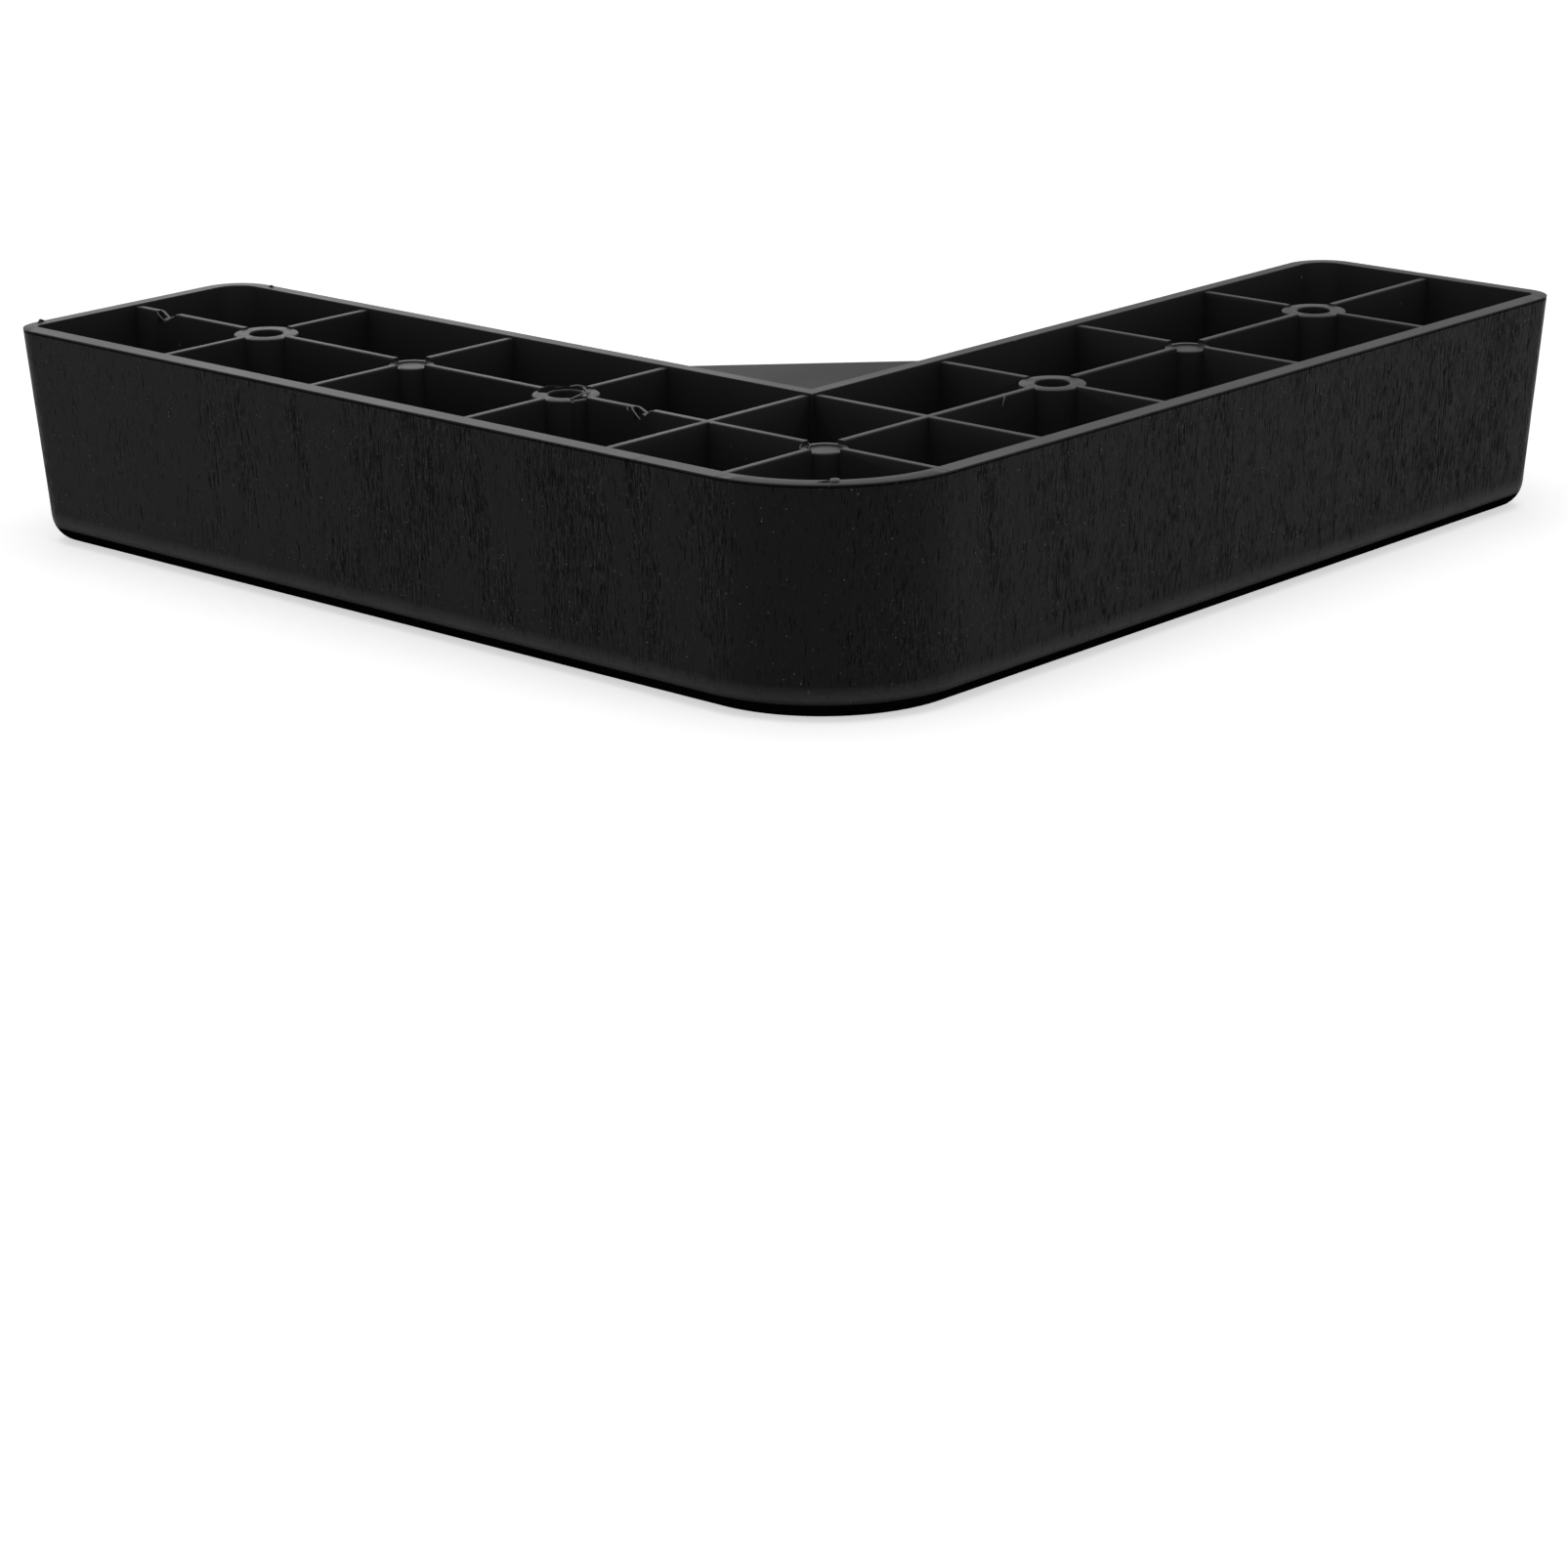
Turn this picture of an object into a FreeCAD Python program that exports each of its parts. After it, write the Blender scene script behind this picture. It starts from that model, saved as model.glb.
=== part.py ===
import FreeCAD, Part
import math
import os
import Sketcher

# L-shaped corner riser for a bed frame, injection moulded in one piece.
# It stands on its closed base. The open top is a grid of ribs and screw bosses that meets the bed.
# Millimetres and degrees. While it is drawn, the sharp outer corner of the L is at x = 0, y = 0:
# one arm runs along +X, the other along +Y, and the base is at z = 0.
# The finished body is then moved, so that the origin is the middle of the base's bounding box.

SIZES = {
    "arm_length": 150.0,
    "arm_width": 41.2,
    "riser_height": 30.0,
    "outer_wall": 2.6,
    "end_wall": 2.0,
    "inner_wall": 2.0,
    "floor_thickness": 2.5,
    "wall_taper": 3.6,
    "front_corner_radius": 20.8,
    "near_corner_radius": 4.0,
    "far_corner_radius": 6.0,
    "base_edge_radius": 4.0,
    "inside_corner_radius": 1.0,
    "rib_thickness": 1.1,
    "rib_draft": 0.5,
    "rib_pitch": 28.4,
    "rib_step_down": 0.25,
    "screw_boss_diameter": 8.7,
    "screw_boss_step_down": 0.2,
    "screw_hole_diameter": 4.5,
    "screw_head_diameter": 8.4,
    "solid_boss_diameter": 6.0,
    "solid_boss_step_down": 0.45,
    "boss_step_margin": 0.15,
    "boss_dimple_diameter": 4.4,
    "boss_dimple_depth": 0.2,
    "web_leg": 22.6,
    "web_thickness": 2.0,
    "end_notch_from_end": 8.2,
    "end_notch_width": 3.2,
    "end_notch_depth": 1.3,
    "middle_notch_from_rib": 14.0,
    "middle_notch_width": 3.0,
    "middle_notch_depth": 1.0,
}

# Local axes of the planes that the sketches lie on
FLAT = "XY_Plane"
UPRIGHT_XZ = "XZ_Plane"
UPRIGHT_YZ = "YZ_Plane"

# Points and levels that are nearer to each other than this are taken to be the same
NEAR = 0.01

# Degrees by which a face may lean and still be taken as upright or level
LEAN = 1.0

document = FreeCAD.newDocument("corner_riser")
sheet = document.addObject("Spreadsheet::Sheet", "Sizes")
for row, (alias, amount) in enumerate(SIZES.items(), start=1):
    sheet.set(f"A{row}", alias.replace("_", " "))
    sheet.set(f"B{row}", str(amount))
    sheet.setAlias(f"B{row}", alias)
document.recompute()


class Size:
    """A length that is known both as a number and as a formula on the sheet's cells."""

    def __init__(self, number, formula):
        self.number = number
        self.formula = formula

    def __add__(self, other):
        other = as_size(other)
        return Size(self.number + other.number, f"({self.formula} + {other.formula})")

    def __sub__(self, other):
        other = as_size(other)
        return Size(self.number - other.number, f"({self.formula} - {other.formula})")

    def __mul__(self, factor):
        return Size(self.number * factor, f"({self.formula} * {factor})")

    def __truediv__(self, divisor):
        return Size(self.number / divisor, f"({self.formula} / {divisor})")

    def __neg__(self):
        return Size(-self.number, f"(0 - {self.formula})")


def as_size(value):
    return value if isinstance(value, Size) else Size(float(value), str(float(value)))


def cell(alias):
    return Size(SIZES[alias], f"Sizes.{alias}")


ZERO = Size(0.0, "0.0")
length = cell("arm_length")
width = cell("arm_width")
height = cell("riser_height")
floor_level = cell("floor_thickness")
rib_level = height - cell("rib_step_down")

# Inner faces of the walls at the rim, and the line midway between them that carries the long rib
outer_face = cell("outer_wall")
inner_face = width - cell("inner_wall")
end_face = length - cell("end_wall")
rib_line = (outer_face + inner_face) / 2

# Cross ribs count back from the arm's end; a divider carries the other arm's inner wall on.
# The same lines serve both ways: what is one arm's long rib meets the other arm as a cross rib.
cross_ribs = [length - cell("rib_pitch") * count for count in (1, 2, 3)]
divider = width - cell("inner_wall") / 2
rib_lines = [rib_line, divider, *cross_ribs]
screw_bosses = [cross_ribs[0], cross_ribs[2]]
solid_bosses = [cross_ribs[1]]


def bind(item, path, size):
    """Ties one property of a feature or constraint of a sketch to the sheet."""
    item.setExpression(path, size.formula)


def sketch_on(body, name, role, level):
    """An empty sketch on one of the body's own planes, moved along the plane's normal."""
    plane = next(f for f in body.Origin.OriginFeatures if f.Role == role)
    sketch = body.newObject("Sketcher::SketchObject", name)
    sketch.AttachmentSupport = [(plane, "")]
    sketch.MapMode = "FlatFace"
    bind(sketch, "AttachmentOffset.Base.z", level)
    return sketch


def hold(sketch, geometry, point, place):
    """Fixes one point of a sketch at a pair of sizes measured from the sketch's origin."""
    origin, upright_axis, level_axis = -1, -2, -1
    for direction, axis, size in (("DistanceX", upright_axis, place[0]), ("DistanceY", level_axis, place[1])):
        if size is ZERO:
            sketch.addConstraint(Sketcher.Constraint("PointOnObject", geometry, point, axis))
            continue
        constraint = Sketcher.Constraint(direction, origin, 1, geometry, point, size.number)
        index = sketch.addConstraint(constraint)
        bind(sketch, f"Constraints[{index}]", size)


def draw_polygon(sketch, corners):
    """A closed outline of straight lines through the given corners."""
    first = sketch.GeometryCount
    points = [FreeCAD.Vector(x.number, y.number, 0) for x, y in corners]
    count = len(points)
    for index in range(count):
        sketch.addGeometry(Part.LineSegment(points[index], points[(index + 1) % count]), False)
    for index in range(count):
        line, following = first + index, first + (index + 1) % count
        sketch.addConstraint(Sketcher.Constraint("Coincident", line, 2, following, 1))
        hold(sketch, line, 1, corners[index])


def draw_circle(sketch, centre, diameter):
    number = sketch.GeometryCount
    middle = FreeCAD.Vector(centre[0].number, centre[1].number, 0)
    sketch.addGeometry(Part.Circle(middle, FreeCAD.Vector(0, 0, 1), diameter.number / 2), False)
    hold(sketch, number, 3, centre)
    index = sketch.addConstraint(Sketcher.Constraint("Diameter", number, diameter.number))
    bind(sketch, f"Constraints[{index}]", diameter)


def extrude(body, kind, name, sketch, depth, reverse=False, taper=None):
    """A Pad or Pocket of a sketch, with its depth and taper tied to the sheet."""
    before = body.Shape.Volume if body.Tip else 0.0
    feature = body.newObject(f"PartDesign::{kind}", name)
    feature.Profile = sketch
    bind(feature, "Length", depth)
    feature.Reversed = reverse
    if taper is not None:
        bind(feature, "TaperAngle", taper)
    document.recompute()
    change = feature.Shape.Volume - before
    if (change > 0) != (kind == "Pad"):
        raise ValueError(f"{name} changes nothing: {change:.3f} cubic mm")


def draft_faces(body, name, faces, angle, neutral):
    """Slopes faces of the body's last feature by one angle, which narrows the body downwards."""
    base = body.Tip
    before = body.Shape.Volume
    feature = body.newObject("PartDesign::Draft", name)
    feature.Base = (base, faces)
    feature.NeutralPlane = (base, [neutral])
    bind(feature, "Angle", angle)
    document.recompute()
    if feature.Shape.Volume > before:
        feature.Reversed = True
        document.recompute()


def upright_faces(shape):
    """Names of the side faces of a straight block."""
    most = math.sin(math.radians(LEAN))
    return [
        f"Face{number}"
        for number, face in enumerate(shape.Faces, start=1)
        if abs(face.normalAt(0, 0).z) < most
    ]


def top_face(shape):
    """Name of the highest flat face."""
    least = math.cos(math.radians(LEAN))
    heights = [face.CenterOfMass.z if face.normalAt(0, 0).z > least else -1.0 for face in shape.Faces]
    return f"Face{heights.index(max(heights)) + 1}"


def dress_edges(body, kind, name, edges, size_name, size):
    """A Fillet or Chamfer on edges of the body's last feature."""
    base = body.Tip
    feature = body.newObject(f"PartDesign::{kind}", name)
    feature.Base = (base, edges)
    bind(feature, size_name, size)
    document.recompute()


def round_edges(body, name, edges, radius):
    dress_edges(body, "Fillet", name, edges, "Radius", radius)


def corner_edges(shape, places):
    """Names of the edges that come down the body from the given corners of its top outline."""
    top = max(vertex.Z for vertex in shape.Vertexes)
    found = []
    for number, edge in enumerate(shape.Edges, start=1):
        upper = max(edge.Vertexes, key=lambda vertex: vertex.Z).Point
        lower = min(edge.Vertexes, key=lambda vertex: vertex.Z).Point
        if top - upper.z > NEAR or upper.z - lower.z < NEAR:
            continue
        if any(math.hypot(upper.x - x.number, upper.y - y.number) < NEAR for x, y in places):
            found.append(f"Edge{number}")
    if len(found) != len(places):
        raise ValueError(f"{len(found)} edges found for {len(places)} corners")
    return found


def bottom_edges(shape):
    """Names of the edges of the lowest flat face."""
    low = min(vertex.Z for vertex in shape.Vertexes)
    return [
        f"Edge{number}"
        for number, edge in enumerate(shape.Edges, start=1)
        if max(vertex.Z for vertex in edge.Vertexes) - low < NEAR
    ]


def circles_at(shape, level, diameter):
    """Names of the full circles of one diameter that lie at one level."""
    return [
        f"Edge{number}"
        for number, edge in enumerate(shape.Edges, start=1)
        if not edge.Degenerated
        and isinstance(edge.Curve, Part.Circle)
        and abs(edge.Curve.Center.z - level) < NEAR
        and abs(edge.Curve.Radius - diameter / 2) < NEAR
    ]


def both_arms(points):
    """The same points for the arm along +Y and, turned over the diagonal, for the arm along +X."""
    return [(x, y) for x, y in points] + [(y, x) for x, y in points]


def l_outline(outside, inside, end):
    """The six corners of an L with its outer sides, inner sides and arm ends at these distances."""
    return [(outside, outside), (end, outside), (end, inside), (inside, inside), (inside, end), (outside, end)]


def tapered_l(body, name, outside, inside, end, depth, radii):
    """An L that hangs from the rim level and narrows downwards, with its upright corners rounded."""
    sketch = sketch_on(body, f"{name}_outline", FLAT, height)
    draw_polygon(sketch, l_outline(outside, inside, end))
    extrude(body, "Pad", f"{name}_block", sketch, depth, reverse=True)
    sides, top = upright_faces(body.Shape), top_face(body.Shape)
    draft_faces(body, f"{name}_taper", sides, cell("wall_taper"), top)
    front, near, far = radii
    for label, places, radius in (
        ("front_corner", [(outside, outside)], front),
        ("near_corners", both_arms([(outside, end)]), near),
        ("far_corners", both_arms([(inside, end)]), far),
    ):
        round_edges(body, f"{name}_{label}", corner_edges(body.Shape, places), radius)


def rib_slots(body, name, role, lines):
    """Slots for parallel ribs, right through the core: each rib's drafted section stands on the floor."""
    top = cell("rib_thickness") / 2
    root = top + root_growth
    sketch = sketch_on(body, f"{name}_outline", role, ZERO)
    for line in lines:
        section = [
            (line - root, floor_level),
            (line + root, floor_level),
            (line + top, rib_level),
            (line - top, rib_level),
        ]
        draw_polygon(sketch, section)
    extrude(body, "Pocket", name, sketch, length, reverse=role == UPRIGHT_YZ)


def boss_sockets(body, name, places, diameter):
    """Round sockets for bosses, from the floor up to the rib level, wider at the floor by the draft."""
    sketch = sketch_on(body, f"{name}_outline", FLAT, floor_level)
    for place in places:
        draw_circle(sketch, place, diameter + root_growth * 2)
    extrude(body, "Pocket", name, sketch, rib_level - floor_level, reverse=True, taper=-cell("rib_draft"))


# How much thicker ribs and bosses are at the floor than at the top, on each side
draft = math.tan(math.radians(SIZES["rib_draft"]))
root_growth = Size(
    (rib_level - floor_level).number * draft,
    f"({(rib_level - floor_level).formula} * tan(Sizes.rib_draft * 1 deg))",
)

screw_places = both_arms([(rib_line, line) for line in screw_bosses])
solid_places = both_arms([(rib_line, line) for line in solid_bosses]) + [(rib_line, rib_line)]

# The core: the space inside the walls, less what the ribs and bosses fill
core = document.addObject("PartDesign::Body", "core")
tapered_l(
    core,
    "cavity",
    outer_face,
    inner_face,
    end_face,
    height - floor_level,
    (
        cell("front_corner_radius") - outer_face,
        cell("inside_corner_radius"),
        cell("far_corner_radius") - cell("inner_wall"),
    ),
)
rib_slots(core, "ribs_along_y", UPRIGHT_XZ, rib_lines)
rib_slots(core, "ribs_along_x", UPRIGHT_YZ, rib_lines)
boss_sockets(core, "screw_boss_sockets", screw_places, cell("screw_boss_diameter"))
boss_sockets(core, "solid_boss_sockets", solid_places, cell("solid_boss_diameter"))

# The riser: the tapered outer block, hollowed by the core
riser = document.addObject("PartDesign::Body", "riser_body")
tapered_l(
    riser,
    "outer",
    ZERO,
    width,
    length,
    height,
    (cell("front_corner_radius"), cell("near_corner_radius"), cell("far_corner_radius")),
)
round_edges(riser, "base_edges", bottom_edges(riser.Shape), cell("base_edge_radius"))
hollow = riser.newObject("PartDesign::Boolean", "hollow")
hollow.setObjects([core])
hollow.Type = "Cut"
document.recompute()

# The flat web across the inside of the L, level with the ribs and rooted in both inner walls
root = width - cell("inner_wall") / 2
reach = width + cell("web_leg") + cell("inner_wall") / 2
web_outline = sketch_on(riser, "web_outline", FLAT, rib_level)
draw_polygon(web_outline, [(root, root), (reach, root), (root, reach)])
extrude(riser, "Pad", "web", web_outline, cell("web_thickness"), reverse=True)

# The bosses end a little below the ribs, whose ends stop at a round step just outside each boss
for name, places in (("screw_boss", screw_places), ("solid_boss", solid_places)):
    steps_outline = sketch_on(riser, f"{name}_steps_outline", FLAT, rib_level)
    for place in places:
        draw_circle(steps_outline, place, cell(f"{name}_diameter") + cell("boss_step_margin") * 2)
    extrude(riser, "Pocket", f"{name}_steps", steps_outline, cell(f"{name}_step_down"))

# Screw holes down through the bosses, countersunk in the base
holes_outline = sketch_on(riser, "screw_holes_outline", FLAT, ZERO)
for place in screw_places:
    draw_circle(holes_outline, place, cell("screw_hole_diameter"))
extrude(riser, "Pocket", "screw_holes", holes_outline, height, reverse=True)
rims = circles_at(riser.Shape, 0.0, SIZES["screw_hole_diameter"])
sink = (cell("screw_head_diameter") - cell("screw_hole_diameter")) / 2
dress_edges(riser, "Chamfer", "countersinks", rims, "Size", sink)

# Shallow round dimples in the tops of the solid bosses
solid_boss_level = rib_level - cell("solid_boss_step_down")
dimples_outline = sketch_on(riser, "boss_dimples_outline", FLAT, solid_boss_level)
for place in solid_places:
    draw_circle(dimples_outline, place, cell("boss_dimple_diameter"))
extrude(riser, "Pocket", "boss_dimples", dimples_outline, cell("boss_dimple_depth"))

# Two V-shaped nicks in the top of the long rib of the arm along +Y
end_notch = length - cell("end_notch_from_end")
middle_notch = cross_ribs[2] - cell("middle_notch_from_rib")
rib_side = rib_line - cell("rib_thickness")
notches_outline = sketch_on(riser, "rib_notches_outline", UPRIGHT_YZ, rib_side)
for centre, name in ((end_notch, "end_notch"), (middle_notch, "middle_notch")):
    half = cell(f"{name}_width") / 2
    bottom = rib_level - cell(f"{name}_depth")
    draw_polygon(notches_outline, [(centre - half, rib_level), (centre, bottom), (centre + half, rib_level)])
extrude(riser, "Pocket", "rib_notches", notches_outline, cell("rib_thickness") * 2, reverse=True)

riser.setExpression("Placement.Base.x", (-length / 2).formula)
riser.setExpression("Placement.Base.y", (-length / 2).formula)
document.recompute()

failed = [item.Name for item in document.Objects if {"Invalid", "Error"} & set(item.State)]
if failed:
    raise ValueError(f"features that failed: {failed}")
shape = riser.Shape
if shape.isNull() or not shape.isValid() or len(shape.Solids) != 1:
    raise ValueError("the riser isn't one valid solid")

os.makedirs("parts", exist_ok=True)
shape.exportStep(f"parts/{riser.Label}.step")
box = shape.optimalBoundingBox(True, False)
print(f"{riser.Label}: {shape.Volume / 1000:.2f} cubic cm, {len(shape.Faces)} faces")
print(f"box {box.XMin:.3f} {box.YMin:.3f} {box.ZMin:.3f} to {box.XMax:.3f} {box.YMax:.3f} {box.ZMax:.3f}")
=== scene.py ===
import math

import bpy
import numpy as np
from bpy.props import FloatProperty, FloatVectorProperty, IntProperty, PointerProperty
from bpy.types import Operator, Panel, PropertyGroup
from mathutils import Matrix, Vector


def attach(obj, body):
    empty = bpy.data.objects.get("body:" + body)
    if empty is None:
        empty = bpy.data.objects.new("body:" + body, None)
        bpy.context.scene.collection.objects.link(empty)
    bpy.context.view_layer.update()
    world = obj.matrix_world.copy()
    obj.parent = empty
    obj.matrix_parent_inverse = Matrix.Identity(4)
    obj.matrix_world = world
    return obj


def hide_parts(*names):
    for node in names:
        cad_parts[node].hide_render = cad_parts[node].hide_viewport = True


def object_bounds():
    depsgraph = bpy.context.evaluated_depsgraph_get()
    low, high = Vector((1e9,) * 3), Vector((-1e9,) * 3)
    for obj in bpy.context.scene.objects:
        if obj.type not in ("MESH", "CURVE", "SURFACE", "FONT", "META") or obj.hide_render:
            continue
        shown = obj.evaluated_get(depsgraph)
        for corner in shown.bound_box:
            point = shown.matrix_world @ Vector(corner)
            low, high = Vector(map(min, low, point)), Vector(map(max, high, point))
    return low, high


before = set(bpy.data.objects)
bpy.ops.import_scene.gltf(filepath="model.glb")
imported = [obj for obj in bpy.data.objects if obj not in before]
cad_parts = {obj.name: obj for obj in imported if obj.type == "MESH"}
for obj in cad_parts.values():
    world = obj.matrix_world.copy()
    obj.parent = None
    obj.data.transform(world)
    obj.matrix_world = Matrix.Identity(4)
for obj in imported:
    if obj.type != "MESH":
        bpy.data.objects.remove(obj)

bl_info = {
    "name": "Corner riser",
    "version": (1, 0, 0),
    "blender": (4, 5, 0),
    "location": "View3D > Sidebar > Riser",
    "description": "Builds a moulded corner riser with wood grain walls, a ribbed top and its stage",
    "category": "Object",
}

# Metres. Plan positions are measured from the sharp outer corner of the L, and are moved to the
# frame's origin when a mesh is made. One arm lies along +X and the other along +Y, and the camera has
# the one along +Y, with the left wall, on its left.

CAD_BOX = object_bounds()
ARM_LENGTH = CAD_BOX[1][0] - CAD_BOX[0][0]
RISER_HEIGHT = CAD_BOX[1][2] - CAD_BOX[0][2]
MM = 0.001

# Places of the finishes in each mesh's list of materials
SKIN, BODY, TORN, DULL, PAINTED_SHADE = 0, 1, 2, 3, 4

# The grain stops at a fine groove below the rim: how far below, how deep, and how high its lower side
RIM_LINE = 0.30 * MM
GROOVE_DEPTH = 0.05 * MM
GROOVE_SIDE = 0.11 * MM

# Ribs and bosses start this deep in the floor, and cutters reach this far past the moulding
RIB_ROOT = 0.5 * MM
BOSS_ROOT = 0.4 * MM
PAST = 1.0 * MM

# A cutter's flat step lies this far above the boss, so that the boss keeps its own rounded edge
HAIR = 0.01 * MM

# Sides of round parts, and the turns of a small rounded edge
ROUND_SIDES = 64
DIMPLE_SIDES = 48
EDGE_TURNS = np.radians([0.0, 30.0, 60.0, 90.0])

# Nicks in the long rib of the arm along +Y, in millimetres: where along the arm, how far the cut runs
# out to either side, and its depth. Some go through the rib and have pale torn sides, the others only
# reach a little past the rib's middle.
TEAR_REACH = 0.12 * MM
NICKS = [
    {"name": "end_notch", "through": True, "centre": 141.4, "left": 1.9, "right": 1.9, "depth": 1.2},
    {"name": "end_tear", "through": False, "centre": 143.3, "left": 2.6, "right": 0.2, "depth": 1.8},
    {"name": "middle_notch", "through": True, "centre": 50.3, "left": 0.95, "right": 2.0, "depth": 0.85},
    {"name": "middle_tear", "through": False, "centre": 52.3, "left": 2.4, "right": 0.2, "depth": 1.6},
]

# Torn stretches of one ring boss: between which degrees from +X, and in millimetres how far past the
# boss they go and how deep. They leave narrow lips at the hole and at the outside.
INNER_LIP = 0.26 * MM
OUTER_LIP = 0.20 * MM
TRENCHES = [
    {"name": "torn_back", "start": -8, "stop": 118, "past": 0.0, "depth": 0.8},
    {"name": "torn_front", "start": -126, "stop": -82, "past": 0.0, "depth": 0.5},
    {"name": "torn_gap", "start": -126, "stop": -121, "past": 1.0, "depth": 0.6},
]

# The trenches' roughness: shares, rates and phases of sines whose periods don't fit each other
ROUGH_SINES = [(0.5, 9.1, 0.0), (0.3, 17.3, 1.0), (0.2, 31.7, 2.0)]

# Points and sides of a strand's tube, and a direction that no strand follows
STRAND_POINTS = 15
STRAND_SIDES = 6
ASKEW = np.array([0.31, 0.36, 0.88])

# Strands of flash: plan points and radii at root and tip, in millimetres, and whether they are torn pale
FLASH = [
    ([(20.3, 53.4, 29.62), (20.2, 53.25, 29.4), (20.2, 53.1, 29.2)], 0.10, 0.05, True),
    ([(20.4, 52.7, 29.70), (20.2, 52.3, 29.4), (20.2, 51.75, 28.92), (20.2, 51.05, 28.38)],
     0.11, 0.09, True),
    ([(20.45, 50.35, 28.95), (20.4, 49.9, 29.35), (20.45, 49.4, 29.70)], 0.10, 0.09, True),
    ([(20.45, 141.6, 28.60), (20.4, 140.5, 29.14), (20.5, 139.2, 29.74)], 0.12, 0.12, True),
    ([(20.4, 143.5, 29.6), (20.2, 142.9, 29.25), (20.2, 142.3, 28.9), (20.25, 141.6, 28.5)],
     0.06, 0.05, True),
    ([(54.6, 20.5, 29.70), (54.3, 20.2, 29.5), (54.0, 20.15, 29.1), (53.8, 20.1, 28.6)], 0.09, 0.04, True),
    ([(54.9, 20.5, 29.65), (54.8, 20.2, 29.3), (54.75, 20.15, 28.5)], 0.05, 0.02, False),
    ([(5.7, 8.6, 29.95), (6.3, 8.0, 30.08), (6.9, 7.7, 30.05)], 0.09, 0.12, False),
    ([(7.0, 7.6, 30.08), (7.4, 7.3, 30.16), (7.8, 7.0, 30.08)], 0.30, 0.25, True),
    ([(18.0, 21.5, 29.2), (18.2, 22.6, 29.35), (19.8, 23.8, 29.45), (20.9, 24.2, 29.5),
      (21.2, 23.6, 29.5), (19.9, 22.3, 29.4)], 0.11, 0.08, False),
    ([(18.2, 21.5, 29.3), (18.9, 21.7, 29.45), (20.2, 22.6, 29.5)], 0.08, 0.06, False),
    ([(4.2, 149.2, 29.9), (4.9, 149.7, 30.25), (5.6, 149.6, 29.9)], 0.20, 0.14, False),
    ([(40.4, 141.9, 29.9), (40.6, 142.4, 30.18), (40.4, 142.9, 29.9)], 0.16, 0.12, False),
    ([(19.2, 61.9, 29.4), (19.6, 61.2, 29.5), (20.2, 60.8, 29.55), (20.9, 60.6, 29.5)], 0.10, 0.09, True),
    ([(19.5, 62.6, 29.4), (20.6, 62.3, 29.75), (21.9, 62.3, 29.9), (23.2, 62.8, 29.6)], 0.12, 0.10, True),
    ([(24.7, 65.4, 29.5), (23.9, 64.3, 29.75), (22.9, 62.9, 29.6), (22.4, 62.0, 29.5)], 0.13, 0.10, True),
    ([(20.9, 69.0, 29.5), (21.9, 69.3, 29.65), (22.8, 69.2, 29.6), (23.5, 68.5, 29.5)], 0.09, 0.06, False),
    ([(24.3, 67.4, 29.5), (24.9, 66.9, 29.65), (25.3, 66.3, 29.6), (25.1, 65.2, 29.5)], 0.09, 0.08, True),
]


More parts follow.
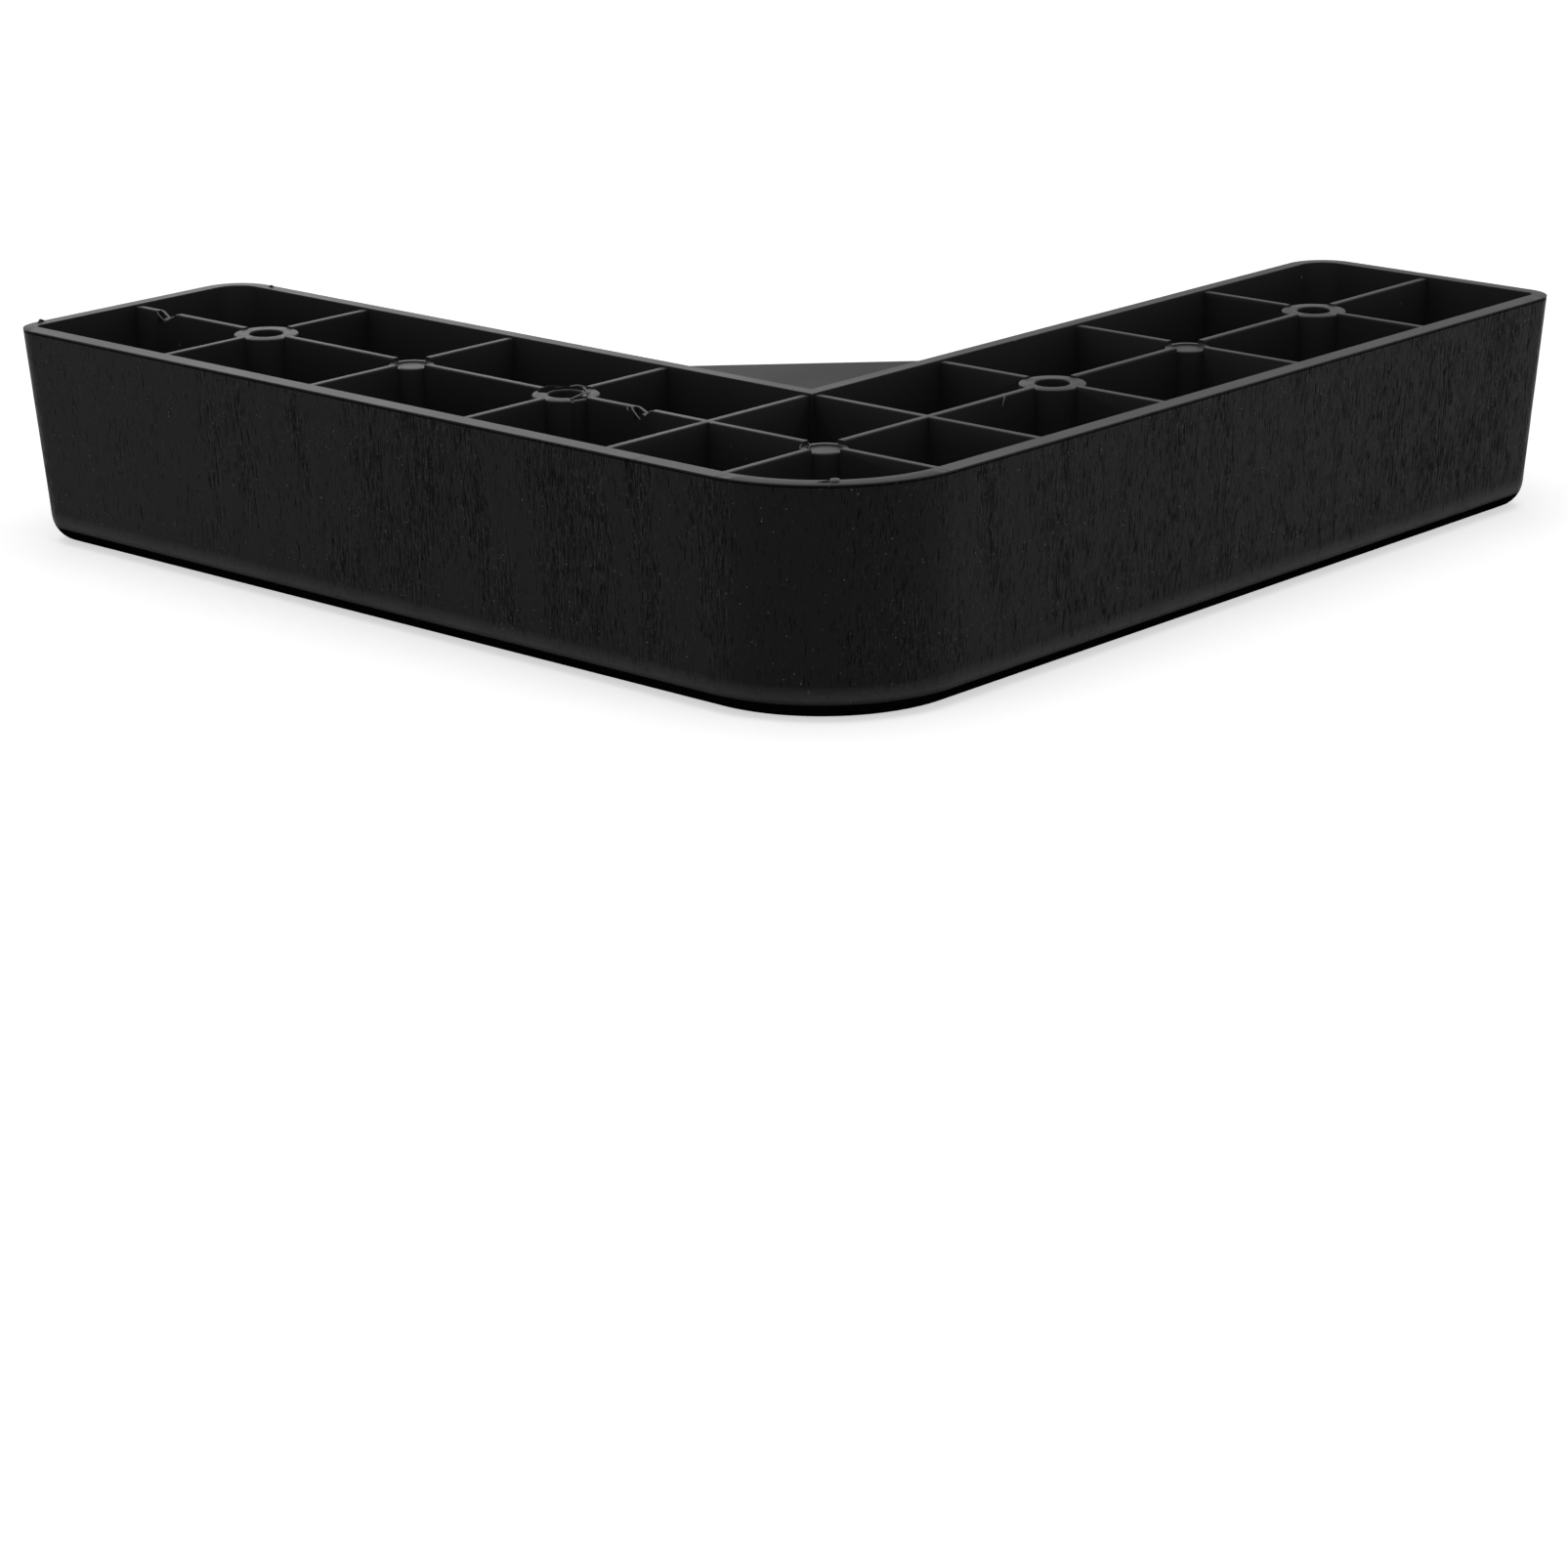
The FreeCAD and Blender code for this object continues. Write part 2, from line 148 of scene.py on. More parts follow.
class RiserSizes(PropertyGroup):
    """Sizes of the moulding, as the frame has them."""

    arm_width: FloatProperty(name="Arm width", description="Width of an arm at the rim",
                             default=0.0412, unit="LENGTH")
    outer_wall: FloatProperty(name="Outer wall", description="Thickness of the two long outer walls",
                              default=0.0026, unit="LENGTH")
    thin_wall: FloatProperty(name="Thin wall", description="Thickness of the end walls and inner walls",
                             default=0.0020, unit="LENGTH")
    floor_thickness: FloatProperty(name="Floor", description="Thickness of the closed base",
                                   default=0.0025, unit="LENGTH")
    wall_taper: FloatProperty(name="Wall taper", description="Slope of all walls towards the base",
                              default=math.radians(3.6), unit="ROTATION")
    front_radius: FloatProperty(name="Front corner", description="Radius of the large outer corner",
                                default=0.0208, unit="LENGTH")
    near_radius: FloatProperty(name="Near corners", description="Radius where outer and end walls meet",
                               default=0.004, unit="LENGTH")
    far_radius: FloatProperty(name="Far corners", description="Radius where inner and end walls meet",
                              default=0.006, unit="LENGTH")
    inside_radius: FloatProperty(name="Inside corners", description="Radius of the cavity's near corners",
                                 default=0.001, unit="LENGTH")
    base_radius: FloatProperty(name="Base edge", description="Radius of the edge round the base",
                               default=0.004, unit="LENGTH")
    rim_round: FloatProperty(name="Rim edge", description="Small rounding of the rim's edges",
                             default=0.00009, unit="LENGTH")
    rib_thickness: FloatProperty(name="Rib", description="Thickness of a rib at its top",
                                 default=0.0011, unit="LENGTH")
    rib_draft: FloatProperty(name="Rib draft", description="Slope of the ribs and bosses",
                             default=math.radians(0.5), unit="ROTATION")
    rib_pitch: FloatProperty(name="Rib pitch", description="Distance from one cross rib to the next",
                             default=0.0284, unit="LENGTH")
    rib_step: FloatProperty(name="Rib step", description="How far the ribs' tops lie below the rim",
                            default=0.00025, unit="LENGTH")
    rib_round: FloatProperty(name="Rib edge", description="Rounding of the top edges of ribs and bosses",
                             default=0.00018, unit="LENGTH")
    screw_boss: FloatProperty(name="Screw boss", description="Diameter of a boss with a screw hole",
                              default=0.0087, unit="LENGTH")
    screw_hole: FloatProperty(name="Screw hole", description="Diameter of a screw hole",
                              default=0.0045, unit="LENGTH")
    screw_head: FloatProperty(name="Screw head", description="Diameter of the countersink in the base",
                              default=0.0084, unit="LENGTH")
    solid_boss: FloatProperty(name="Solid boss", description="Diameter of a boss without a hole",
                              default=0.0060, unit="LENGTH")
    screw_step: FloatProperty(name="Screw boss step", description="How far screw bosses lie below the ribs",
                              default=0.0002, unit="LENGTH")
    solid_step: FloatProperty(name="Solid boss step", description="How far solid bosses lie below the ribs",
                              default=0.00045, unit="LENGTH")
    rib_overlap: FloatProperty(name="Rib overlap", description="How far rib ends run in over a screw boss",
                               default=0.00015, unit="LENGTH")
    rib_gap: FloatProperty(name="Rib gap", description="Gap between rib ends and a solid boss",
                           default=0.00002, unit="LENGTH")
    dimple: FloatProperty(name="Dimple", description="Diameter of the dimple in a solid boss",
                          default=0.0044, unit="LENGTH")
    dimple_depth: FloatProperty(name="Dimple depth", description="Depth of the dimple in a solid boss",
                                default=0.0002, unit="LENGTH")
    web_leg: FloatProperty(name="Web leg", description="How far the web reaches along an inner wall",
                           default=0.0226, unit="LENGTH")
    web_thickness: FloatProperty(name="Web", description="Thickness of the web",
                                 default=0.0020, unit="LENGTH")


class GrainSizes(PropertyGroup):
    """Sizes of the moulded wood grain."""

    fine_step: FloatProperty(name="Fine step", description="Column distance on the long outer walls",
                             default=0.00018, unit="LENGTH")
    coarse_step: FloatProperty(name="Coarse step", description="Column distance on the other walls",
                               default=0.0005, unit="LENGTH")
    wall_rows: IntProperty(name="Wall rows", description="Rows of the wall's grid between its edges",
                           default=26)
    pore_depth: FloatProperty(name="Pore depth", description="Depth of the deepest pores",
                              default=0.00006, unit="LENGTH")
    pore_length: FloatProperty(name="Pore length", description="Length over which a pore comes and goes",
                               default=0.0015, unit="LENGTH")
    lip_height: FloatProperty(name="Lip height", description="Height of the lip beside a pore",
                              default=0.00002, unit="LENGTH")
    swell: FloatProperty(name="Swell", description="Depth of the soft swells between the pores",
                         default=0.00003, unit="LENGTH")
    sway: FloatProperty(name="Sway", description="How far the grain lines sway sideways",
                        default=0.0011, unit="LENGTH")
    seed: IntProperty(name="Seed", description="Seed of the grain's pattern", default=11)


class PlasticLook(PropertyGroup):
    """Colours and finish of the black plastic."""

    colour: FloatVectorProperty(name="Colour", description="Colour of the black plastic", subtype="COLOR",
                                size=4, min=0.0, max=1.0, default=(0.0090, 0.0090, 0.0092, 1.0))
    # Painted shade: this near-black colour stands in for shade in the pores, the fine marks, the groove
    # below the rim and under the base edge
    painted_shade_colour: FloatVectorProperty(name="Pore colour", description="Colour deep in the pores",
                                     subtype="COLOR", size=4, min=0.0, max=1.0,
                                     default=(0.002, 0.002, 0.002, 1.0))
    # Painted highlight: this lighter colour stands in for light caught on the pores' lips and on fine
    # flecks
    painted_highlight_colour: FloatVectorProperty(name="Lip colour", description="Colour of the pores' burnished lips",
                                    subtype="COLOR", size=4, min=0.0, max=1.0,
                                    default=(0.032, 0.032, 0.033, 1.0))
    inner_colour: FloatVectorProperty(name="Inner colour", description="Colour of the polished inner faces",
                                      subtype="COLOR", size=4, min=0.0, max=1.0,
                                      default=(0.0210, 0.0210, 0.0213, 1.0))
    torn_colour: FloatVectorProperty(name="Torn colour", description="Colour of torn and stretched plastic",
                                     subtype="COLOR", size=4, min=0.0, max=1.0,
                                     default=(0.19, 0.19, 0.19, 1.0))
    # Painted sheen: this lighter colour stands in for a highlight along the rounded base edge
    painted_sheen_colour: FloatVectorProperty(name="Worn colour", description="Colour of the base's polished edge",
                                     subtype="COLOR", size=4, min=0.0, max=1.0,
                                     default=(0.042, 0.042, 0.043, 1.0))
    dust_colour: FloatVectorProperty(name="Dust colour", description="Colour of dust and moulding specks",
                                     subtype="COLOR", size=4, min=0.0, max=1.0,
                                     default=(0.095, 0.095, 0.095, 1.0))
    roughness: FloatProperty(name="Roughness", description="Roughness of the satin surface",
                             default=0.42, min=0.0, max=1.0)
    gloss_level: FloatProperty(name="Gloss level", description="Strength of the plastic's reflections",
                               default=0.082, min=0.0, max=1.0)
    skin_gloss: FloatProperty(name="Skin gloss", description="Strength of the grained skin's reflections",
                              default=0.056, min=0.0, max=1.0)
    dull_gloss: FloatProperty(name="Dull gloss", description="Gloss of the web and of the bosses' sides",
                             default=0.018, min=0.0, max=1.0)


class StageLook(PropertyGroup):
    """Floor, light and camera."""

    floor_colour: FloatVectorProperty(name="Floor colour", description="Colour of the pale floor",
                                      subtype="COLOR", size=4, min=0.0, max=1.0,
                                      default=(0.84, 0.84, 0.84, 1.0))
    ambient: FloatProperty(name="Ambient", description="Strength of the light from all round", default=0.20)
    lamp_power: FloatProperty(name="Lamp power", description="Power of the soft lamp above", default=6.0,
                              unit="POWER")
    side_power: FloatProperty(name="Side power", description="Power of each soft lamp at the sides",
                              default=1.35, unit="POWER")
    back_power: FloatProperty(name="Back power", description="Power of the lamp that the left rim mirrors",
                              default=0.42, unit="POWER")
    lens: FloatProperty(name="Lens", description="Focal length in millimetres on a 36 mm sensor",
                        default=104.45)
    azimuth: FloatProperty(name="Azimuth", description="Turn of the camera round the riser",
                           default=math.radians(-47.782), unit="ROTATION")
    elevation: FloatProperty(name="Elevation", description="Height of the camera as an angle",
                             default=math.radians(17.990), unit="ROTATION")
    roll: FloatProperty(name="Roll", description="Roll of the camera", default=math.radians(-0.663),
                        unit="ROTATION")
    distance: FloatProperty(name="Distance", description="Distance from the camera to its aim",
                            default=0.60238, unit="LENGTH")
    aim: FloatVectorProperty(name="Aim", description="Point that the camera looks at",
                             subtype="TRANSLATION", size=3, default=(-0.030132, -0.025106, -0.025424))


# Meshes

def to_frame(points):
    """Moves plan positions from the sharp outer corner to the frame's origin."""
    return points - np.array([ARM_LENGTH / 2, ARM_LENGTH / 2, 0.0])


def mesh_object(name, points, faces, materials):
    """A linked object whose mesh has these points, already in plan positions, and these faces."""
    mesh = bpy.data.meshes.new(name)
    mesh.from_pydata(to_frame(points).tolist(), [], faces)
    for material in materials:
        mesh.materials.append(material)
    piece = bpy.data.objects.new(name, mesh)
    bpy.context.scene.collection.objects.link(piece)
    return piece


def strip_faces(rows, columns):
    """Quads between the rows of a grid whose columns close on themselves, as rows of four indices."""
    row, column = np.meshgrid(np.arange(rows - 1), np.arange(columns), indexing="ij")
    following = (column + 1) % columns
    quads = [row * columns + column, row * columns + following,
             (row + 1) * columns + following, (row + 1) * columns + column]
    return np.stack(quads, axis=-1).reshape(-1, 4)


def closed_rings(rings):
    """Points and faces of a solid made of rings of equal counts, with a flat face on each end.

    The rings run counterclockwise seen from where the solid ends, so every face points outwards.
    """
    rows, columns = rings.shape[:2]
    faces = strip_faces(rows, columns).tolist()
    faces.append(list(range(columns - 1, -1, -1)))
    faces.append(list(range((rows - 1) * columns, rows * columns)))
    return rings.reshape(-1, 3), faces


def revolved(centre, profile, count):
    """Rings of a revolved solid: for each (radius, height) of the profile a circle about the centre."""
    turn = np.linspace(0.0, 2 * math.pi, count, endpoint=False)
    radius, height = np.array(profile).T
    return np.stack([
        centre[0] + radius[:, None] * np.cos(turn),
        centre[1] + radius[:, None] * np.sin(turn),
        np.repeat(height[:, None], count, axis=1),
    ], axis=-1)


def smooth_step(value):
    """Eases 0 to 1 with the cubic 3 x x - 2 x x x, held at both ends."""
    value = np.clip(value, 0.0, 1.0)
    return value * value * (3 - 2 * value)


def rise_over(distance, reach):
    """Rises from 0 to 1 over the given reach."""
    return smooth_step(distance / reach)


def lattice_noise(rng, along, up, cell, total):
    """Smooth random values from 0 to 1 over the unrolled wall.

    Random numbers stand on a lattice whose cell has a size along the wall and one up it, and which
    repeats after the total length. They are blended with the cubic of smooth_step both ways.
    """
    count = max(3, round(total / cell[0]))
    levels = int(np.ceil(up.max() / cell[1])) + 2
    lattice = rng.random((count, levels))
    along, up = along / total * count, up / cell[1]
    column, level = np.floor(along).astype(int), np.floor(up).astype(int)
    beyond, above = smooth_step(along - column), smooth_step(up - level)
    near, far = column % count, (column + 1) % count
    low = lattice[near, level] * (1 - beyond) + lattice[far, level] * beyond
    high = lattice[near, level + 1] * (1 - beyond) + lattice[far, level + 1] * beyond
    return low * (1 - above) + high * above


# The L seen from above

# Directions of travel from each corner to the next, in the order of l_corners
TRAVEL = np.array([(0, 1), (-1, 0), (0, -1), (1, 0), (0, 1), (-1, 0)], dtype=float)


def l_corners(outside, inside, end, inset):
    """Corners of the L for each inset, counterclockwise from the inner corner: rows, corners, x and y."""
    outer, inner, tip = outside + inset, inside - inset, end - inset
    return np.stack([
        np.stack([inner, inner], -1), np.stack([inner, tip], -1), np.stack([outer, tip], -1),
        np.stack([outer, outer], -1), np.stack([tip, outer], -1), np.stack([tip, inner], -1),
    ], axis=1)


def stretch_lengths(corners, radii):
    """Lengths of the straights and quarter circles along one outline, in order of travel."""
    following = np.roll(corners, -1, axis=0)
    straight = np.abs(following - corners).sum(axis=1) - radii - np.roll(radii, -1)
    arcs = np.roll(radii, -1) * math.pi / 2
    return np.stack([straight, arcs], axis=1).ravel()[:-1]


def l_points(corners, radii, stretch, share):
    """Points and outward directions on rounded L outlines, one outline per row.

    A straight runs between two tangent points. A quarter circle turns from the direction of travel u
    by the angle f: centre - left(u) r cos f + u r sin f.
    """
    row = np.arange(corners.shape[0])[:, None]
    here, ahead = stretch // 2, (stretch // 2 + 1) % 6
    travel = TRAVEL[here]
    left = np.stack([-travel[..., 1], travel[..., 0]], axis=-1)
    radius_here, radius_ahead = radii[row, here][..., None], radii[row, ahead][..., None]
    start = corners[row, here] + radius_here * travel
    stop = corners[row, ahead] - radius_ahead * travel
    share = share[..., None]
    straight = start + (stop - start) * share
    turn = share * math.pi / 2
    bend = -left * np.cos(turn) + travel * np.sin(turn)
    arc = stop + left * radius_ahead + bend * radius_ahead
    bent = (stretch % 2 == 1)[..., None]
    return np.where(bent, arc, straight), np.where(bent, bend, -left)


def along_outline(lengths, position):
    """The stretch that each position along the outline falls on, and its share of that stretch."""
    ends = np.cumsum(lengths)
    position = np.clip(position % ends[-1], 0.0, ends[-1] * (1 - 1e-9))
    stretch = np.searchsorted(ends, position, side="right")
    return stretch, (position - (ends - lengths)[stretch]) / lengths[stretch]


def columns_along(lengths, steps):
    """Positions along the outline, at each stretch's own step, with a column at every tangent point."""
    starts = np.cumsum(lengths) - lengths
    parts = [
        start + np.linspace(0.0, length, max(4, round(length / step)), endpoint=False)
        for start, length, step in zip(starts, lengths, steps)
    ]
    return np.concatenate(parts)


# The grain on the walls

# Cells of the noises that shape the grain: their sizes along the wall and up it
BAND_CELL = (3.6 * MM, 22.0 * MM)
BUNCH_CELL = (1.1 * MM, 4.0 * MM)
SWELL_CELL = (1.6 * MM, 10.0 * MM)
SWAY_CELL = (17.0 * MM, 16.0 * MM)
FINE_SWAY_CELL = (6.0 * MM, 8.0 * MM)
# The next two cells vary the painted shadow line in the groove below the rim and the painted sheen band on
# the base edge
RIM_CELL = (0.9 * MM, 30.0 * MM)
SHEEN_CELL = (4.0 * MM, 30.0 * MM)

# How much the bands lean, as a slope
BAND_LEAN = 0.10

# A column is a pore above this level, which full bands and full bunches lower by these amounts
PORE_LEVEL = 0.99
BAND_DROP = 0.34
BUNCH_DROP = 0.26

# How closely fine marks gather: everywhere, in full bands, and in full bunches
MARKS_EVERYWHERE = 0.15
MARKS_IN_BANDS = 0.6
MARKS_IN_BUNCHES = 0.45


def fade_in(position, start, reach):
    """Rises from 0 at the start to 1 over the reach."""
    return rise_over(position - start, reach)


def grain_strength(position, lengths):
    """How strong and how even the grain is along the outline.

    It is weak in the first 12 mm from the left arm's end and full after 40 mm more. Mid-corner, in a
    bell curve 6 mm wide, it is a quarter, and on the right wall it is a little more than full. It lies
    in bands on the left wall, and from 15 mm past mid-corner it grows more even.
    """
    starts = np.cumsum(lengths) - lengths
    left_wall, corner = starts[4], starts[5] + lengths[5] / 2
    left_end = 0.25 + 0.75 * fade_in(position, left_wall + 12 * MM, 40 * MM)
    calm_corner = 1 - 0.75 * np.exp(-((position - corner + 2 * MM) / (6 * MM)) ** 2)
    right_wall = 1 + 0.15 * fade_in(position, corner + 10 * MM, 10 * MM)
    on_left = (position >= left_wall) & (position < corner)
    strength = np.where(on_left, left_end, 1.0) * calm_corner * right_wall
    return strength, 0.7 * fade_in(position, corner + 15 * MM, 25 * MM)


def grain(rng, position, height, total, strength, evenness, sizes):
    """Depth of the moulded grain, and three masks, for each row and column of the wall.

    A column holds pores where its own slow noise along the height passes a level. The level follows
    bands that are a few millimetres wide, much longer and leaning a little, so pores gather in bunches,
    and it rises where the grain is weak. Soft swells lie under the pores, and a pore's next column is
    its raised lip. The last mask says how closely the finer marks of the finish gather.
    """
    columns = position.shape[1]
    levels = int(np.ceil(RISER_HEIGHT / sizes.pore_length)) + 3
    values = rng.random((columns, levels))
    phase = rng.random(columns)
    place = height / sizes.pore_length + phase
    low = np.floor(place).astype(int)
    share = smooth_step(place - low)
    column = np.arange(columns)[None, :]
    own = values[column, low] * (1 - share) + values[column, low + 1] * share
    leaning = position + BAND_LEAN * height
    bands = fade_in(lattice_noise(rng, leaning, height, BAND_CELL, total), 0.2, 0.6)
    bands = bands + (0.55 - bands) * evenness
    bunches = lattice_noise(rng, leaning, height, BUNCH_CELL, total) - 0.5
    level = PORE_LEVEL - (BAND_DROP * bands + BUNCH_DROP * bunches) * strength
    marks = MARKS_EVERYWHERE + MARKS_IN_BANDS * bands + MARKS_IN_BUNCHES * bunches
    gather = np.clip(marks * strength, 0.0, 1.0)
    pores = fade_in(own, level, 0.12) * (0.5 + 0.5 * rng.random(columns)) * np.clip(strength, 0, 1)
    # A lip is raised in the relief, and the material paints a highlight on it
    lips = np.roll(pores, 1, axis=1) * (1 - pores) * rng.random(columns)
    swells = lattice_noise(rng, position, height, SWELL_CELL, total)
    depth = pores * sizes.pore_depth + swells * sizes.swell * strength + (1 - lips) * sizes.lip_height
    return depth, pores, lips, gather


# The moulding

def wall_slope(height, sizes):
    """How far the walls have moved inwards at this height."""
    return (RISER_HEIGHT - height) * math.tan(sizes.wall_taper)


def painted_edge_sheen(height, sizes):
    """A painted sheen band on the rounded edge of the base, standing in for its highlight: most where the
    wall turns under, none at its ends.

    With s as the height's share of the edge's radius it is the product of two eases, up over s from
    0.55 to 0.75 and down over s from 0.8 to 1.15.
    """
    share = height / sizes.base_radius
    return rise_over(share - 0.55, 0.2) * (1 - rise_over(share - 0.8, 0.35))


def outer_profile(sizes, grain_sizes):
    """Insets, heights and corner shrinks of the outer side's rows, from the base up to the rim.

    The base edge is an arc of radius R that touches the base and the sloped wall: its centre lies
    R above the base, and R from the wall.
    """
    radius, taper = sizes.base_radius, sizes.wall_taper
    touch = radius * (1 - math.sin(taper))
    centre = wall_slope(touch, sizes) + radius * math.cos(taper)
    turn = np.linspace(math.radians(270), math.radians(180) + taper, 9)
    inset = centre + radius * np.cos(turn)
    height = radius + radius * np.sin(turn)
    edge = sizes.rim_round
    wall = np.linspace(touch, RISER_HEIGHT - RIM_LINE - GROOVE_SIDE, grain_sizes.wall_rows + 1)[1:]
    wall = np.concatenate([wall, [RISER_HEIGHT - RIM_LINE, RISER_HEIGHT - edge]])
    groove = np.zeros(len(wall))
    groove[-2] = GROOVE_DEPTH
    inset = np.concatenate([inset, wall_slope(wall, sizes) + groove])
    height = np.concatenate([height, wall])
    shrink = inset - wall_slope(height, sizes)
    bend = np.radians([45.0, 90.0])
    inset = np.concatenate([inset, edge * (1 - np.cos(bend))])
    height = np.concatenate([height, RISER_HEIGHT - edge * (1 - np.sin(bend))])
    return inset, height, np.concatenate([shrink, [0.0, 0.0]])


def outer_radii(sizes):
    """Radii of the L's corners at the rim, in the order of l_corners."""
    return np.array([0.0, sizes.far_radius, sizes.near_radius, sizes.front_radius,
                     sizes.near_radius, sizes.far_radius])


def cavity_radii(sizes):
    """Radii of the cavity's corners, in the order of l_corners."""
    return np.array([0.0, sizes.far_radius - sizes.thin_wall, sizes.inside_radius,
                     sizes.front_radius - sizes.outer_wall, sizes.inside_radius,
                     sizes.far_radius - sizes.thin_wall])


def wall_columns(sizes, grain_sizes):
    """Lengths of the outline's stretches, its columns' places, and how crisp each column's pores are.

    The two long outer walls have fine columns. Wider columns make wider pores, which are fainter.
    """
    corners = l_corners(0.0, sizes.arm_width, ARM_LENGTH, np.zeros(1))[0]
    lengths = stretch_lengths(corners, outer_radii(sizes))
    fine, coarse = grain_sizes.fine_step, grain_sizes.coarse_step
    steps = np.array([coarse] * 3 + [fine * 1.5] + [fine] * 3 + [fine * 1.5] + [coarse] * 3)
    position = columns_along(lengths, steps)
    crisp = np.clip(1.6 * fine / steps[along_outline(lengths, position)[0]], 0.0, 1.0)
    return lengths, position, crisp


def outer_side(rng, sizes, grain_sizes, lengths, position, crisp):
    """Points and heights of the outer side's rows, and the masks that its material reads.

    Each point lies on the outline of its row, moved along it by the sway and inwards by the grain. The
    masks are the pores, the groove below the rim and the base edge's underside, all with painted shade,
    the pores' lips with painted highlights, how closely fine marks gather, and a painted sheen band on the
    base edge.
    """
    inset, height, shrink = outer_profile(sizes, grain_sizes)
    total = lengths.sum()

    # Grain lines sway a little, but not near the inner corner, where the outline has a sharp turn
    level = np.repeat(height[:, None], len(position), axis=1)
    place = np.repeat(position[None, :], len(height), axis=0)
    from_corner = np.minimum(place, total - place)
    sway = lattice_noise(rng, place, level, SWAY_CELL, total) - 0.5
    sway = sway + 0.5 * (lattice_noise(rng, place, level, FINE_SWAY_CELL, total) - 0.5)
    place = place + sway * rise_over(from_corner, 6 * MM) * grain_sizes.sway
    stretch, share = along_outline(lengths, place)
    corners = l_corners(0.0, sizes.arm_width, ARM_LENGTH, inset)
    row_radii = np.clip(outer_radii(sizes) - shrink[:, None], 0.0, None)
    flat, outward = l_points(corners, row_radii, stretch, share)

    # The grain is weaker low on the wall, and ends at the base edge and at the inner corner
    strength, evenness = grain_strength(place, lengths)
    strength = strength * (0.35 + 0.65 * fade_in(level, 3.5 * MM, 3 * MM))
    strength = strength * rise_over(level, 1.2 * MM) * rise_over(from_corner, 1.5 * MM)
    depth, pores, lips, gather = grain(rng, place, level, total, strength, evenness, grain_sizes)
    near_rim = 1 - 0.5 * fade_in(level, RISER_HEIGHT - 0.6 * MM, 0.6 * MM)
    flat = flat - outward * (depth * near_rim)[..., None]

    # Painted shade: the groove below the rim gets a painted shadow line, and the underside of the base edge
    # painted shade, as deep as in the pores
    groove = np.exp(-((level - RISER_HEIGHT + RIM_LINE) / GROOVE_DEPTH) ** 2)
    groove = groove * (0.65 + 0.35 * lattice_noise(rng, place, level, RIM_CELL, total))
    underside = 1 - fade_in(level, 0.43 * sizes.base_radius, 0.25 * sizes.base_radius)
    painted_shade_mask = np.maximum(np.maximum(0.6 * pores * crisp * near_rim, groove), underside)
    # Painted sheen: a lighter band along the base edge, varied by a slow noise
    painted_sheen = painted_edge_sheen(level, sizes) * (0.7 + 0.3 * lattice_noise(rng, place, level, SHEEN_CELL, total))
    # The pore mask holds the painted shade, the lip mask the painted highlights
    masks = {"pore": painted_shade_mask, "lip": lips * crisp, "gather": gather, "painted_sheen": painted_sheen}
    return np.concatenate([flat, level[..., None]], axis=-1), height, masks


def cavity_side(sizes, lengths, position):
    """Points of the cavity's wall in the same columns, from the rim's inner edge down to the floor."""
    edge = sizes.rim_round
    inset = np.array([-edge, 0.0, wall_slope(sizes.floor_thickness, sizes)])
    height = np.array([RISER_HEIGHT, RISER_HEIGHT - edge, sizes.floor_thickness])
    corners = l_corners(sizes.outer_wall, sizes.arm_width - sizes.thin_wall, ARM_LENGTH - sizes.thin_wall,
                        inset)
    every_row = (len(height), 1)
    stretch, share = along_outline(lengths, position)
    flat, _ = l_points(corners, np.tile(cavity_radii(sizes), every_row), np.tile(stretch, every_row),
                       np.tile(share, every_row))
    level = np.repeat(height[:, None], len(position), axis=1)
    return np.concatenate([flat, level[..., None]], axis=-1)


def shell_object(sizes, grain_sizes, materials):
    """The hollow tapered L as one closed grid: outer side with grain, rim, cavity, floor and base.

    Of the outer side's rows of faces, the two that round the rim have the plain finish. The underside
    of the base edge, up to 0.6 of its radius, and the lower side of the groove are near-black without
    gloss, as painted shade.
    """
    rng = np.random.default_rng(grain_sizes.seed)
    lengths, position, crisp = wall_columns(sizes, grain_sizes)
    outside, height, masks = outer_side(rng, sizes, grain_sizes, lengths, position, crisp)
    points, faces = closed_rings(np.concatenate([outside, cavity_side(sizes, lengths, position)]))
    shell = mesh_object("riser_moulding", points, faces, materials)

    skin_rows = len(height) - 3
    finish = np.full(len(faces), BODY, dtype=np.int32)
    rows = finish[:-2].reshape(-1, len(position))
    rows[:skin_rows] = SKIN
    # Painted shade: the underside of the base edge and the groove's lower side get the near-black finish
    # without gloss
    rows[:np.searchsorted(height, 0.6 * sizes.base_radius) - 1] = PAINTED_SHADE
    rows[skin_rows - 2] = PAINTED_SHADE
    shell.data.polygons.foreach_set("material_index", finish)
    for name, mask in masks.items():
        values = np.zeros(len(points), dtype=np.float32)
        values[:mask.size] = mask.ravel()
        shell.data.attributes.new(name, "FLOAT", "POINT").data.foreach_set("value", values)
    return shell


def plain_object(name, rings, materials, finish=BODY):
    """A closed solid of rings in one finish, as an object."""
    points, faces = closed_rings(rings)
    piece = mesh_object(name, points, faces, materials)
    piece.data.polygons.foreach_set("material_index", np.full(len(faces), finish, dtype=np.int32))
    return piece


